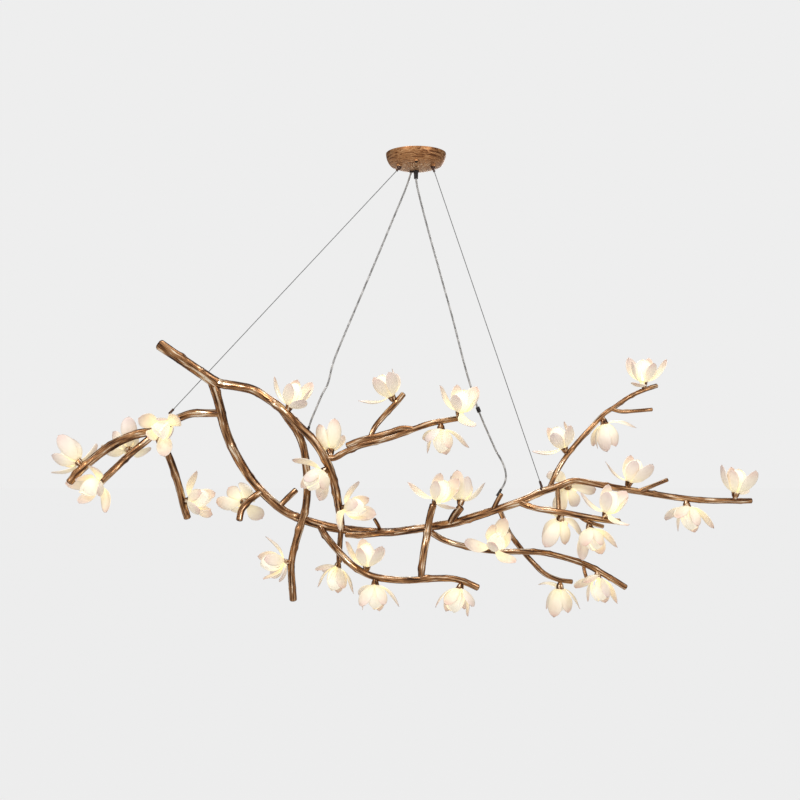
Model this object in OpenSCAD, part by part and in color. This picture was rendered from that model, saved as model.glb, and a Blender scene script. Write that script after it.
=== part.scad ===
// Branch chandelier: bronze magnolia boughs with lit porcelain flowers, hung from a ceiling canopy
// on two steel wires. Millimetres, +Z up, origin on the ceiling at the centre of the canopy.

/* [Canopy] */
// Diameter of the canopy at the ceiling
canopy_d = 150; // [140:1:180]
// Depth of the canopy below the ceiling
canopy_h = 42; // [40:1:50]
// Thickness of the canopy's sheet
canopy_wall = 1.5; // [1:0.25:2.5]
// Distance of each canopy screw's middle from the canopy's edge
canopy_screw_inset = 17; // [15:1:20]
// Diameter of a canopy screw's thread
canopy_screw_d = 4; // [3:0.5:5]

/* [Ceiling bracket] */
// Width of the bracket's strap
bracket_w = 25; // [20:1:32]
// Thickness of the bracket's strap
bracket_t = 2; // [1.5:0.5:3]
// Distance from a canopy screw to the middle of the ceiling screw slot beside it
slot_inset = 12; // [11:1:16]
// Length of a ceiling screw slot, end to end
slot_l = 12; // [8:1:13]
// Width of a ceiling screw slot
slot_w = 4.5; // [4:0.5:6]
// Length of the lamp driver
driver_l = 58; // [44:1:60]
// Width of the lamp driver
driver_w = 36; // [24:1:40]
// Height of the lamp driver
driver_h = 16; // [12:1:20]

/* [Wires and cables] */
// Distance between the two wire grippers
gripper_pitch = 84; // [80:1:96]
// Diameter of a wire gripper's ball
gripper_ball_d = 9; // [8:0.5:11]
// Length of a gripper plunger outside its ball
plunger_l = 5; // [4.5:0.5:7]
// How far a gripper plunger can be pushed in
plunger_travel = 2; // [1:0.5:2.5]
// Diameter of a steel wire
wire_d = 2; // [1.5:0.25:2.5]
// Diameter of a power cable
cable_d = 5; // [4:0.5:5.5]
// Length of the cable gland below the canopy
gland_l = 20; // [16:1:24]

/* [Branches] */
// Width of the branches, from tip to tip
frame_w = 1700; // [1600:10:1800]
// Drop of the lowest branch end below the ceiling
frame_drop = 1112; // [1060:4:1160]
// Depth of the branches, from front to back
frame_depth = 200; // [180:5:240]
// Thickness of all branches as a share of the drawn one
girth = 1; // [0.9:0.05:1.1]
// Depth of the bark's ridges as a share of a branch's radius
bark = 0.05; // [0:0.01:0.08]

/* [Flowers] */
// Length of an outer tepal
outer_l = 68; // [60:1:74]
// Width of an outer tepal
outer_w = 34; // [28:1:38]
// Length of an inner tepal
inner_l = 54; // [48:1:58]
// Width of an inner tepal
inner_w = 37; // [32:1:40]
// Thickness of a tepal
tepal_t = 2.4; // [2:0.2:3]
// Diameter of the bronze cup that carries a flower
cup_d = 18; // [17:1:22]
// Depth of the cup that carries a flower
cup_h = 9; // [8:1:11]
// Diameter of a lamp holder
holder_d = 13; // [12:0.5:14]
// Diameter of a lamp
lamp_d = 11; // [9:0.5:11.5]
// Length of a lamp above its holder
lamp_l = 30; // [24:1:34]

/* [Hidden] */
// The branches are drawn as they look from here, 2.6 m in front of the wires
eye = [-40, -2600, -700];
// Width, drop and depth of the branches in the drawing below
drawn_w = 1700;
drawn_drop = 1112;
drawn_depth = 200;
// The wires, and all that hangs from them, lie this far in front of the canopy's centre
hang_y = -22;
// The branches lie this far behind the wires, so that all that hangs balances below them
balance_y = 13.2;
// Gap between pieces that slip together
slip = 0.2;
// Gap between the end of a steel wire and the plunger that it leaves
wire_gap = 0.3;
// Gap below the gland and the grommet in which the cables move when the branches sway
cable_gap = 5;
bronze = [0.57, 0.39, 0.23];
porcelain = [0.99, 0.94, 0.87];
steel = [0.62, 0.62, 0.60];
dark = [0.16, 0.10, 0.09];
white = [0.93, 0.93, 0.91];

// Each branch: name, node, sides, then points as drawn from the front (x, depth, z, radius),
// then what it is coped against: a branch, which of this branch's points lies there, and how
// many of that branch's rings to each side the cope takes in. The first point lies inside the
// branch that carries it, and the last is the free end.
BRANCHES = [
    ["trunk", "trunk", 10, [[-498, -30, -574, 13], [-540, -38, -545, 12.5],
        [-590, -48, -511, 13], [-637, -58, -479, 13.5]], []],
    ["upper_arch", "upper_arch", 10, [[-512, -31, -564, 10.5], [-485, -34, -575, 11],
        [-445, -44, -581, 11], [-405, -55, -591, 11], [-365, -68, -615, 10.5],
        [-330, -80, -642, 10.5], [-295, -88, -677, 10.5], [-262, -90, -709, 10],
        [-235, -88, -748, 10], [-214, -78, -790, 10], [-202, -60, -835, 10],
        [-194, -32, -878, 9.5], [-188, 0, -918, 9], [-186, 12, -936, 8.5]],
        [["trunk", 0, 2], ["main_limb", 13, 2]]],
    ["main_limb", "main_limb", 10, [[-511, -31, -567, 10], [-501, -26, -595, 11.5],
        [-491, -18, -632, 11.5], [-479, -2, -682, 11.5], [-462, 12, -728, 11.5],
        [-439, 26, -772, 11.5], [-407, 38, -819, 11], [-370, 45, -859, 11],
        [-325, 48, -895, 11], [-278, 47, -915, 11], [-228, 42, -930, 11], [-175, 34, -939, 11],
        [-120, 24, -944, 10.5], [-65, 12, -945, 10], [-10, 3, -939, 10], [45, 0, -931, 10],
        [100, 0, -921, 10], [155, 0, -904, 10], [210, 0, -886, 9.5], [260, 0, -869, 9.5],
        [310, 0, -846, 9.5], [355, 0, -831, 9], [392, 0, -818, 8.5], [435, -4, -822, 8],
        [485, -10, -832, 8], [540, -16, -841, 8], [600, -22, -851, 7.5], [660, -28, -860, 7.5],
        [725, -34, -866, 7.5], [790, -40, -867, 7], [836, -44, -867, 6.5]],
        [["trunk", 0, 2], ["upper_arch", 0, 3]]],
    ["drooping_limb", "drooping_limb", 10, [[-336, -78, -639, 8], [-320, -62, -662, 9],
        [-297, -40, -695, 9.5], [-282, -18, -732, 9.5], [-275, 0, -778, 9.5],
        [-272, 10, -827, 9.5], [-275, 14, -878, 9.5], [-286, 14, -920, 9.5], [-301, 6, -972, 9],
        [-311, 0, -1018, 9], [-311, 0, -1060, 9], [-307, 0, -1112, 9]],
        [["upper_arch", 0, 3]]],
    ["middle_limb", "middle_limb", 8, [[-229, -86, -757, 7], [-205, -78, -760, 7.5],
        [-175, -71, -744, 7.5], [-140, -65, -729, 7.5], [-100, -59, -719, 7.5],
        [-55, -54, -706, 7.5], [-10, -50, -689, 7.5], [35, -47, -674, 7.5], [75, -45, -666, 7],
        [106, -44, -661, 7]],
        [["upper_arch", 0, 2]]],
    ["middle_limb_twin", "middle_limb_twin", 8, [[-8, -50, -688, 6], [-35, -52, -686, 7],
        [-62, -55, -694, 7], [-98, -59, -705, 7], [-138, -65, -715, 7], [-170, -70, -728, 7]],
        [["middle_limb", 0, 3], ["middle_limb", 2, 2], ["middle_limb", 4, 3]]],
    ["middle_twig", "middle_twig", 8, [[-115, -61, -710, 5.5], [-102, -54, -682, 6.5],
        [-80, -46, -655, 7], [-55, -40, -628, 7], [-33, -36, -602, 7]],
        [["middle_limb_twin", 0, 2]]],
    ["front_limb", "front_limb", 10, [[-241, 43, -927, 7.5], [-230, 26, -948, 8.5],
        [-212, 4, -972, 8.5], [-187, -20, -1001, 8.5], [-155, -38, -1031, 8.5],
        [-112, -50, -1054, 8.5], [-62, -56, -1064, 8.5], [-10, -58, -1065, 8.5],
        [45, -58, -1061, 8.5], [92, -56, -1062, 8], [125, -52, -1071, 8], [152, -48, -1083, 8]],
        [["main_limb", 0, 2]]],
    ["riser", "riser", 8, [[13, -58, -1064, 7], [15, -56, -1032, 8.5], [20, -50, -992, 9],
        [28, -42, -950, 9], [34, -42, -910, 8.5], [42, -46, -880, 8.5]],
        [["front_limb", 0, 2]]],
    ["lower_limb", "lower_limb", 8, [[22, 1, -934, 6.5], [45, 14, -951, 7.5],
        [75, 24, -967, 7.5], [118, 32, -980, 7.5], [165, 38, -989, 7.5], [215, 40, -994, 7.5],
        [265, 40, -994, 7.5], [312, 36, -996, 7.5], [352, 30, -1004, 7.5],
        [392, 22, -1015, 7.5], [435, 14, -1031, 7.5], [480, 6, -1056, 7.5],
        [522, 0, -1082, 7.5]],
        [["main_limb", 0, 3]]],
    ["rear_limb", "rear_limb", 8, [[208, 0, -887, 6], [218, 30, -912, 6.5],
        [232, 54, -945, 6.5], [260, 66, -984, 6.5], [290, 68, -1019, 6.5],
        [320, 68, -1048, 6.5], [355, 64, -1064, 6], [388, 60, -1069, 6]],
        [["main_limb", 0, 2]]],
    ["right_spur", "right_spur", 8, [[255, 0, -870, 6.5], [278, -14, -879, 7.5],
        [310, -28, -888, 7.5], [352, -40, -894, 7.5], [400, -50, -902, 7.5],
        [452, -58, -912, 7.5], [506, -64, -919, 7.5]],
        [["main_limb", 0, 3]]],
    ["rising_limb", "rising_limb", 8, [[332, 0, -839, 6], [348, 10, -802, 6.5],
        [365, 22, -772, 6.5], [384, 36, -745, 6.5], [409, 52, -715, 6.5], [438, 68, -684, 6.5],
        [468, 84, -652, 6], [500, 98, -630, 6], [535, 110, -606, 6], [570, 120, -590, 6],
        [600, 128, -580, 6]],
        [["main_limb", 0, 2]]],
    ["left_bough", "left_bough", 10, [[-488, -14, -648, 9], [-522, -12, -648, 10],
        [-560, -6, -649, 10], [-595, 0, -661, 10], [-628, 0, -680, 10.5],
        [-650, -2, -697, 10.5]],
        [["main_limb", 0, 2]]],
    ["left_outer_limb", "left_outer_limb", 10, [[-642, -2, -691, 9], [-670, -10, -695, 10.5],
        [-700, -22, -701, 11], [-738, -38, -716, 11], [-775, -54, -738, 11],
        [-810, -68, -765, 10.5], [-840, -80, -791, 10], [-864, -89, -818, 9]],
        [["left_bough", 0, 3]]],
    ["left_inner_limb", "left_inner_limb", 8, [[-646, -2, -694, 8], [-675, -6, -718, 8.5],
        [-702, -12, -740, 8.5], [-730, -24, -765, 8.5], [-760, -42, -794, 8.5],
        [-786, -58, -819, 8.5]],
        [["left_bough", 0, 3], ["left_outer_limb", 0, 4]]],
    ["left_drop_limb", "left_drop_limb", 8, [[-646, 0, -693, 8], [-640, 12, -720, 9],
        [-622, 22, -748, 9], [-605, 34, -791, 9], [-591, 42, -838, 9], [-581, 46, -878, 9],
        [-572, 48, -907, 9]],
        [["left_bough", 0, 3], ["left_outer_limb", 0, 2], ["left_inner_limb", 0, 2]]],
    ["left_twig", "twigs_left", 8, [[-385, 42, -843, 7.5], [-405, 30, -857, 8.5],
        [-422, 14, -871, 8.5], [-436, 2, -890, 8.5], [-441, -4, -912, 8.5]],
        [["main_limb", 0, 2]]],
    ["rear_twig", "twigs_left", 8, [[-342, 47, -882, 7], [-322, 52, -861, 7.5],
        [-302, 56, -842, 7.5]],
        [["main_limb", 0, 2]]],
    ["hanging_twig", "twigs_left", 8, [[-187, 36, -938, 6.5], [-190, 34, -968, 7],
        [-192, 32, -995, 7], [-192, 30, -1018, 7]],
        [["main_limb", 0, 2], ["upper_arch", 0, 3]]],
    ["splint", "twigs_middle", 8, [[-52, 9, -944, 6.5], [-84, -1, -948, 8], [-130, 4, -952, 8],
        [-172, 10, -951, 8]],
        [["main_limb", 0, 3], ["main_limb", 2, 3], ["main_limb", 3, 3], ["upper_arch", 3, 3],
        ["hanging_twig", 3, 2]]],
    ["bud_twig", "twigs_middle", 8, [[-88, 18, -944, 4], [-95, 8, -928, 4.5],
        [-103, 0, -914, 4.5]],
        [["main_limb", 0, 2]]],
    ["short_stub", "twigs_middle", 8, [[85, 0, -924, 8], [95, -8, -905, 9.5],
        [110, -16, -886, 9.5]],
        [["main_limb", 0, 2]]],
    ["cable_stub", "twigs_middle", 8, [[192, 0, -892, 6], [201, -4, -872, 6],
        [212, -6, -852, 6]],
        [["main_limb", 0, 2]]],
    ["spur_fork", "twigs_right", 8, [[405, -51, -903, 4.5], [420, -50, -914, 5],
        [442, -46, -924, 5], [466, -42, -931, 5]],
        [["right_spur", 0, 2]]],
    ["spur_link", "twigs_right", 8, [[357, -41, -895, 5], [356, -22, -866, 5.5],
        [354, -2, -834, 5]],
        [["right_spur", 0, 2], ["main_limb", 2, 2]]],
    ["rising_fork", "twigs_right", 8, [[490, 94, -638, 4.5], [515, 96, -644, 5],
        [552, 100, -642, 5], [588, 104, -639, 5]],
        [["rising_limb", 0, 2]]],
    ["main_fork", "twigs_right", 8, [[550, -17, -843, 4.5], [575, -26, -836, 5],
        [602, -34, -825, 5], [627, -42, -815, 5]],
        [["main_limb", 0, 2]]],
    ["lower_fork", "twigs_right", 8, [[418, 17, -1025, 4], [421, 8, -1042, 4.5],
        [425, 2, -1056, 4.5]],
        [["lower_limb", 0, 2]]]
];

// Each flower: its node, its branch, where it leaves that branch as drawn (x, z), the way that it
// faces, the angle in the front view of its first outer tepal, and how far each of the three leans.
FLOWERS = [
    ["flowers_left_outer", "left_outer_limb", [-829, -781], [-0.75, 0.35, 0.45], 239, [42, 38, 70]],
    ["flowers_left_outer", "left_inner_limb", [-716, -752], [-0.3, 0.75, 0.6], 200, [55, 50, 50]],
    ["flower_left_inner", "left_inner_limb", [-782, -815], [-0.35, -0.85, -0.3], 190, [72, 58, 50]],
    ["flower_left_bough", "left_bough", [-627, -680], [0.05, -0.9, -0.15], 150, [42, 48, 40]],
    ["flower_left_drop", "left_drop_limb", [-583, -868], [0.75, -0.3, 0.1], 95, [62, 35, 75]],
    ["flower_left_twig", "left_twig", [-426, -874], [-0.35, 0.9, 0.15], 190, [45, 22, 60]],
    ["flowers_upper_arch", "upper_arch", [-322, -648], [0.37, -0.2, 0.9], 157, [42, 55, 25]],
    ["flowers_upper_arch", "upper_arch", [-218, -781], [-0.6, -0.45, -0.6], 135, [59, 62, 42]],
    ["flowers_upper_arch", "upper_arch", [-193, -885], [0.85, -0.55, 0.02], 98, [50, 66, 40]],
    ["flowers_middle_limb", "middle_limb", [-212, -760], [-0.15, 0.5, 0.85], 190, [34, 30, 35]],
    ["flowers_middle_limb", "middle_twig", [-52, -624], [-0.45, -0.2, 0.85], 209, [66, 30, 55]],
    ["flowers_middle_limb", "middle_limb", [104, -661], [0.2, -0.5, 0.8], 163, [45, 80, 50]],
    ["flowers_middle_limb", "middle_limb", [62, -668], [0, -0.25, -0.95], 0, [47, 48, 77]],
    ["flowers_front_limb", "front_limb", [-124, -1049], [0.05, -0.3, 0.95], 180, [37, 25, 70]],
    ["flowers_front_limb", "front_limb", [-102, -1056], [0, -0.35, -0.95], 0, [42, 33, 80]],
    ["flowers_front_limb", "front_limb", [115, -1069], [-0.3, -0.35, -0.85], 160, [30, 70, 51]],
    ["flower_hanging_twig", "hanging_twig", [-192, -1014], [-0.2, -0.3, -0.93], 348, [39, 64, 84]],
    ["flower_drooping_limb", "drooping_limb", [-311, -1020], [-0.9, -0.42, 0], 90, [50, 80, 63]],
    ["flower_riser", "riser", [41, -882], [0.42, -0.4, 0.8], 150, [82, 60, 20]],
    ["flowers_main_limb", "short_stub", [109, -887], [0.15, 0.35, 0.92], 350, [35, 38, 30]],
    ["flowers_main_limb", "main_limb", [380, -822], [0.1, 0.85, -0.5], 0, [60, 40, 60]],
    ["flowers_main_tip", "main_limb", [526, -839], [0.3, -0.2, 0.93], 165, [60, 25, 60]],
    ["flowers_main_tip", "main_limb", [674, -862], [0.07, -0.3, -0.95], 5, [35, 54, 80]],
    ["flowers_main_tip", "main_limb", [796, -867], [0.1, -0.15, 0.97], 175, [28, 30, 85]],
    ["flower_lower_limb", "lower_limb", [452, -1040], [0, -0.4, -0.9], 0, [27, 64, 84]],
    ["flowers_rear_limb", "lower_limb", [188, -991], [0.2, -0.8, 0.55], 186, [74, 58, 42]],
    ["flowers_rear_limb", "rear_limb", [360, -1065], [0, 0.1, -0.97], 0, [37, 18, 82]],
    ["flowers_right_spur", "right_spur", [365, -896], [-0.1, 0.6, -0.8], 0, [49, 35, 72]],
    ["flowers_right_spur", "right_spur", [468, -914], [0.3, -0.4, 0.87], 162, [68, 72, 50]],
    ["flowers_right_spur", "spur_fork", [430, -919], [0.12, -0.55, -0.83], 10, [35, 30, 40]],
    ["flowers_rising_limb", "rising_limb", [570, -590], [-0.1, -0.25, 0.95], 5, [44, 30, 72]],
    ["flowers_rising_limb", "rising_limb", [466, -654], [0.25, 0.1, -0.95], 15, [62, 16, 35]],
    ["flowers_rising_limb", "rising_limb", [378, -753], [-0.4, -0.15, 0.9], 206, [70, 35, 72]]
];

// The two power cables, drawn from the front like the branches, below their tops at the canopy
cable_left_points = [[-27, 3, -90], [-60, -6, -169], [-102, -20, -270], [-146, -42, -374],
    [-190, -64, -478], [-208, -72, -525], [-220, -79, -573], [-235, -83, -602],
    [-250, -87, -637], [-261, -89, -663], [-267, -89, -681]];
cable_right_points = [[5, 5, -91], [30, 4, -189], [60, 3, -297], [91, 2, -409],
    [118, 1, -515], [134, 0, -572], [152, -1, -629], [166, -2, -665], [182, -3, -702],
    [200, -4, -742], [218, -5, -775], [225, -6, -804], [221, -6, -824], [213, -6, -838]];
// The right cable's bead sits on this stretch of its points
bead_point = 7;
bead_l = 14;

canopy_r = canopy_d / 2;
canopy_screw_y = canopy_r - canopy_screw_inset;
slot_pitch = 2 * (canopy_screw_y - slot_inset);
canopy_bowl_r = 160;
canopy_pad_h = 3;
screw_head_h = 3;
bracket_l = 2 * canopy_screw_y + 16;
gland_neck_d = 9;
gland_top_d = 15;
gland_end_d = 2 * cable_d;
gland_end_z = -canopy_h - gland_l;
gripper_collar_h = 2;
gripper_thread_d = 7;
plunger_d = 5;
anchor_d = 6;
anchor_l = 14;
anchor_bore = 9;
grommet_at = [-12, 6];
grommet_d = 9;
bush_l = 20;
cup_r = cup_d / 2;
cup_reach = 19;
holder_depth = cup_h - 3;
holder_top = 5;
pin_d = 0.8;
pin_l = 6;
pin_pitch = 4;
ring_steps = 2;

function unit(v) = v / norm(v);
function xyz(p) = [p.x, p.y, p.z];
function last(list) = list[len(list) - 1];
function mix(a, b, t) = a + (b - a) * t;

// A point of the front drawing, moved along its line of sight to its own depth
function sighted(p) =
    let (
        x = p.x * frame_w / drawn_w,
        depth = p.y * frame_depth / drawn_depth + hang_y + balance_y,
        z = p.z * frame_drop / drawn_drop,
        spread = 1 - depth / eye.y
    )
    [eye.x + (x - eye.x) * spread, depth, eye.z + (z - eye.z) * spread];

// A smooth curve through the points, with a number of steps from each to the next
function curve(a, b, c, d, t) =
    b + 0.5 * t * ((c - a) + t * ((2 * a - 5 * b + 4 * c - d) + t * (3 * b - a - 3 * c + d)));
function smooth(points, steps) = [
    for (i = [0 : len(points) - 2], k = [0 : steps - 1])
        curve(points[max(i - 1, 0)], points[i], points[i + 1],
            points[min(i + 2, len(points) - 1)], k / steps),
    last(points)
];

// Two smaller rings round off a free end
function rounded(rings) =
    let (end = last(rings), out = unit(xyz(end) - xyz(rings[len(rings) - 2])), r = end[3])
    [
        each rings,
        [each xyz(end) + 0.45 * r * out, 0.86 * r],
        [each xyz(end) + 0.7 * r * out, 0.55 * r]
    ];

// The points round each ring, with the bark's uneven ridges
function ridge(i, k) = 1 + bark * sin(61 * i + 143 * k) * cos(37 * i);
function skin(rings, sides) = [
    for (i = [0 : len(rings) - 1])
        let (
            along = unit(xyz(rings[min(i + 1, len(rings) - 1)]) - xyz(rings[max(i - 1, 0)])),
            side = unit(cross(along, [0, 1, 0])),
            up = cross(side, along)
        )
        [
            for (k = [0 : sides - 1])
                let (turn = 360 * k / sides)
                xyz(rings[i]) + rings[i][3] * ridge(i, k) * (cos(turn) * side + sin(turn) * up)
        ]
];

DRAWN = [for (b = BRANCHES) smooth(b[3], ring_steps)];
RINGS = [for (d = DRAWN) rounded([for (p = d) [each sighted(p), p[3] * girth]])];
SKINS = [for (i = [0 : len(RINGS) - 1]) skin(RINGS[i], BRANCHES[i][2])];

function index(name) = search([name], BRANCHES)[0];

// How far along a branch, counted in rings, the drawn point lies
function along(name, at) =
    let (
        rings = DRAWN[index(name)],
        found = [
            for (i = [0 : len(rings) - 2])
                let (
                    a = [rings[i].x, rings[i].z],
                    span = [rings[i + 1].x, rings[i + 1].z] - a,
                    t = max(0, min(1, ((at - a) * span) / (span * span)))
                )
                [norm(at - a - t * span), i + t]
        ],
        least = min([for (f = found) f[0]])
    )
    [for (f = found) if (f[0] == least) f[1]][0];

// The middle of a branch at that drawn point, as x, y, z and radius
function seat(name, at) =
    let (rings = RINGS[index(name)], s = along(name, at), i = floor(s))
    mix(rings[i], rings[min(i + 1, len(rings) - 1)], s - i);

// The stretch of a branch's skin round that drawn point
function stretch(name, at, reach) =
    let (
        loops = SKINS[index(name)],
        s = along(name, at),
        end = ceil(s) + reach,
        whole_end = len(loops) - 1
    )
    [for (i = [max(0, floor(s) - reach) : (end > whole_end - 3 ? whole_end : end)]) loops[i]];

// A closed solid through rings of points
module loft(loops) {
    n = len(loops);
    sides = len(loops[0]);
    end = (n - 1) * sides;
    polyhedron(
        [
            for (loop = loops) each loop,
            [for (k = [1 : sides]) 1 / sides] * loops[0],
            [for (k = [1 : sides]) 1 / sides] * loops[n - 1]
        ],
        [
            for (i = [0 : n - 2], k = [0 : sides - 1])
                each [
                    [i * sides + k, i * sides + (k + 1) % sides, (i + 1) * sides + k],
                    [i * sides + (k + 1) % sides, (i + 1) * sides + (k + 1) % sides,
                        (i + 1) * sides + k]
                ],
            for (k = [0 : sides - 1]) [n * sides, (k + 1) % sides, k],
            for (k = [0 : sides - 1]) [n * sides + 1, end + k, end + (k + 1) % sides]
        ]
    );
}

module branch(i) {
    difference() {
        loft(SKINS[i]);
        for (cope = BRANCHES[i][4]) {
            at = BRANCHES[i][3][cope[1]];
            loft(stretch(cope[0], [at.x, at.z], cope[2]));
        }
    }
}

module branches(name) {
    color(bronze)
        for (i = [0 : len(BRANCHES) - 1])
            if (BRANCHES[i][1] == name) branch(i);
}

// Places its children at a point with +Z along a direction and +X towards a hint
module aimed(point, direction, hint) {
    z = unit(direction);
    x = unit(hint - (hint * z) * z);
    y = cross(z, x);
    multmatrix([
        [x.x, y.x, z.x, point.x],
        [x.y, y.y, z.y, point.y],
        [x.z, y.z, z.z, point.z],
        [0, 0, 0, 1]
    ]) children();
}

module at_cup(f) {
    middle = seat(f[1], f[2]);
    aimed(xyz(middle) + cup_reach * unit(f[3]), f[3], [cos(f[4]), 0, sin(f[4])]) children();
}

// A dish that hangs from the ceiling, drawn in by an inset
module dish(inset) {
    corner_r = canopy_h;
    rotate_extrude($fn = 96)
        intersection() {
            translate([0, canopy_bowl_r - canopy_h]) circle(r = canopy_bowl_r - inset);
            union() {
                translate([canopy_r - corner_r, 0]) circle(r = corner_r - inset);
                translate([0, -canopy_h]) square([canopy_r - corner_r, canopy_h + 1]);
            }
            translate([0, -canopy_h - 1]) square([canopy_r + 1, canopy_h + 1 + (inset > 0 ? 1 : 0)]);
        }
}

// Depth of the dish's underside at a distance from its centre
function bowl_z(r) = canopy_bowl_r - canopy_h - sqrt(canopy_bowl_r * canopy_bowl_r - r * r);

gripper_r = norm([gripper_pitch / 2, hang_y]);
gripper_pad_d = 15;
gripper_pad_z = bowl_z(gripper_r - gripper_pad_d / 2) - 0.3;
screw_pad_d = 11;
screw_pad_z = bowl_z(canopy_screw_y - screw_pad_d / 2) - 0.3;
gripper_ball_z = gripper_pad_z - gripper_collar_h - 1.5;
grommet_z = -canopy_h - 3;

function side_of(name) = name == "left" ? -1 : 1;
function ball_at(s) = [s * gripper_pitch / 2, hang_y, gripper_ball_z];
// Where each wire is anchored: a branch, the drawn point on it, and how high its post stands
anchor_seats = [["left_bough", [-612, -671], 22], ["main_limb", [312, -845], 15]];
function anchor_seat(s) = anchor_seats[s < 0 ? 0 : 1];
// Where each cable enters the branches
bush_seats = [["upper_arch", [-272, -699]], ["cable_stub", [210, -855]]];
function anchor_foot(s) = xyz(seat(anchor_seat(s)[0], anchor_seat(s)[1]));
function anchor_head(s) = [anchor_foot(s).x, hang_y, anchor_foot(s).z + anchor_seat(s)[2]];
function wire_out(s) = unit(anchor_head(s) - ball_at(s));
function mouth_at(s) = ball_at(s) + (gripper_ball_d / 2 + plunger_l) * wire_out(s);

module ceiling_bracket() {
    color(steel) difference() {
        translate([-bracket_w / 2, -bracket_l / 2, -bracket_t])
            cube([bracket_w, bracket_l, bracket_t]);
        for (s = [-1, 1]) {
            translate([0, s * slot_pitch / 2, -bracket_t - 1]) linear_extrude(bracket_t + 2) {
                for (e = [-1, 1]) translate([0, e * (slot_l - slot_w) / 2]) circle(d = slot_w, $fn = 48);
                square([slot_w, slot_l - slot_w], center = true);
            }
            translate([0, s * canopy_screw_y, -bracket_t - 1])
                cylinder(d = canopy_screw_d, h = bracket_t + 2, $fn = 48);
        }
    }
}

module canopy() {
    color(bronze) difference() {
        union() {
            difference() {
                dish(0);
                dish(canopy_wall);
            }
            for (s = [-1, 1]) {
                translate([0, s * canopy_screw_y, screw_pad_z])
                    cylinder(d = screw_pad_d, h = canopy_pad_h + 2, $fn = 64);
                translate([s * gripper_pitch / 2, hang_y, gripper_pad_z])
                    cylinder(d = gripper_pad_d, h = canopy_pad_h + 4, $fn = 64);
            }
            translate([0, 0, -canopy_h]) cylinder(d = gland_top_d + 2, h = canopy_pad_h, $fn = 64);
        }
        for (s = [-1, 1]) {
            translate([0, s * canopy_screw_y, -canopy_h - 1])
                cylinder(d = canopy_screw_d + 2 * slip, h = canopy_h, $fn = 48);
            translate([s * gripper_pitch / 2, hang_y, -canopy_h - 1])
                cylinder(d = gripper_thread_d + 2 * slip, h = canopy_h, $fn = 48);
        }
        translate([0, 0, -canopy_h - 1])
            cylinder(d = gland_neck_d + 2 * slip, h = canopy_h, $fn = 48);
        translate([each grommet_at, -canopy_h - 1])
            cylinder(d = cable_d + 1.4, h = 6, $fn = 48);
    }
}

module canopy_screws() {
    color(dark) for (s = [-1, 1]) translate([0, s * canopy_screw_y, 0]) {
        translate([0, 0, screw_pad_z - 0.01])
            cylinder(d = canopy_screw_d, h = -0.3 - screw_pad_z, $fn = 48);
        translate([0, 0, screw_pad_z - screw_head_h])
            cylinder(d1 = 1.4 * canopy_screw_d, d2 = 2 * canopy_screw_d, h = screw_head_h, $fn = 48);
    }
}

module led_driver() {
    color(white) translate([0, -9, -bracket_t - driver_h]) linear_extrude(driver_h) {
        square([driver_w - 6, driver_l], center = true);
        square([driver_w, driver_l - 6], center = true);
        for (x = [-1, 1], y = [-1, 1])
            translate([x * (driver_w / 2 - 3), y * (driver_l / 2 - 3)]) circle(r = 3, $fn = 32);
    }
}

module terminal_block() {
    block = [22, 12, 11];
    color(white) difference() {
        translate([-block.x / 2, driver_l / 2 - 9 + 3, -bracket_t - block.z]) cube(block);
        for (x = [-7, 0, 7])
            translate([x, driver_l / 2 - 9 + 3 + block.y / 2, -bracket_t - block.z - 1])
                cylinder(d = 3.4, h = 7, $fn = 32);
    }
}

module cord_gland() {
    nut_h = 4;
    color(dark) difference() {
        union() {
            rotate_extrude($fn = 64) polygon([
                [0, gland_end_z], [gland_end_d / 2, gland_end_z],
                [gland_end_d / 2 + 0.6, gland_end_z + gland_l - 5],
                [gland_top_d / 2, -canopy_h - 3], [gland_top_d / 2, -canopy_h],
                [gland_neck_d / 2, -canopy_h], [gland_neck_d / 2, -canopy_h + canopy_pad_h + nut_h + 1],
                [0, -canopy_h + canopy_pad_h + nut_h + 1]
            ]);
            translate([0, 0, -canopy_h + canopy_pad_h]) cylinder(d = 15, h = nut_h, $fn = 6);
        }
        translate([0, 0, gland_end_z - 1])
            cylinder(d = cable_d + 0.4, h = gland_l + canopy_pad_h + nut_h + 4, $fn = 32);
    }
}

// A rubber grommet clipped into the dish's sheet
module cord_grommet() {
    r = norm(grommet_at);
    sheet_z = [bowl_z(r - grommet_d / 2), bowl_z(r + grommet_d / 2) + canopy_wall + 0.6];
    color(dark) translate([each grommet_at, 0]) rotate_extrude($fn = 48) polygon([
        [cable_d / 2 + 0.1, grommet_z], [grommet_d / 2 - 0.8, grommet_z],
        [grommet_d / 2, grommet_z + 1], [grommet_d / 2, sheet_z.x - 0.1],
        [cable_d / 2 + 0.6, sheet_z.x - 0.1], [cable_d / 2 + 0.6, sheet_z.y],
        [grommet_d / 2, sheet_z.y], [grommet_d / 2, sheet_z.y + 1.2],
        [cable_d / 2 + 0.1, sheet_z.y + 1.2]
    ]);
}

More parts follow.
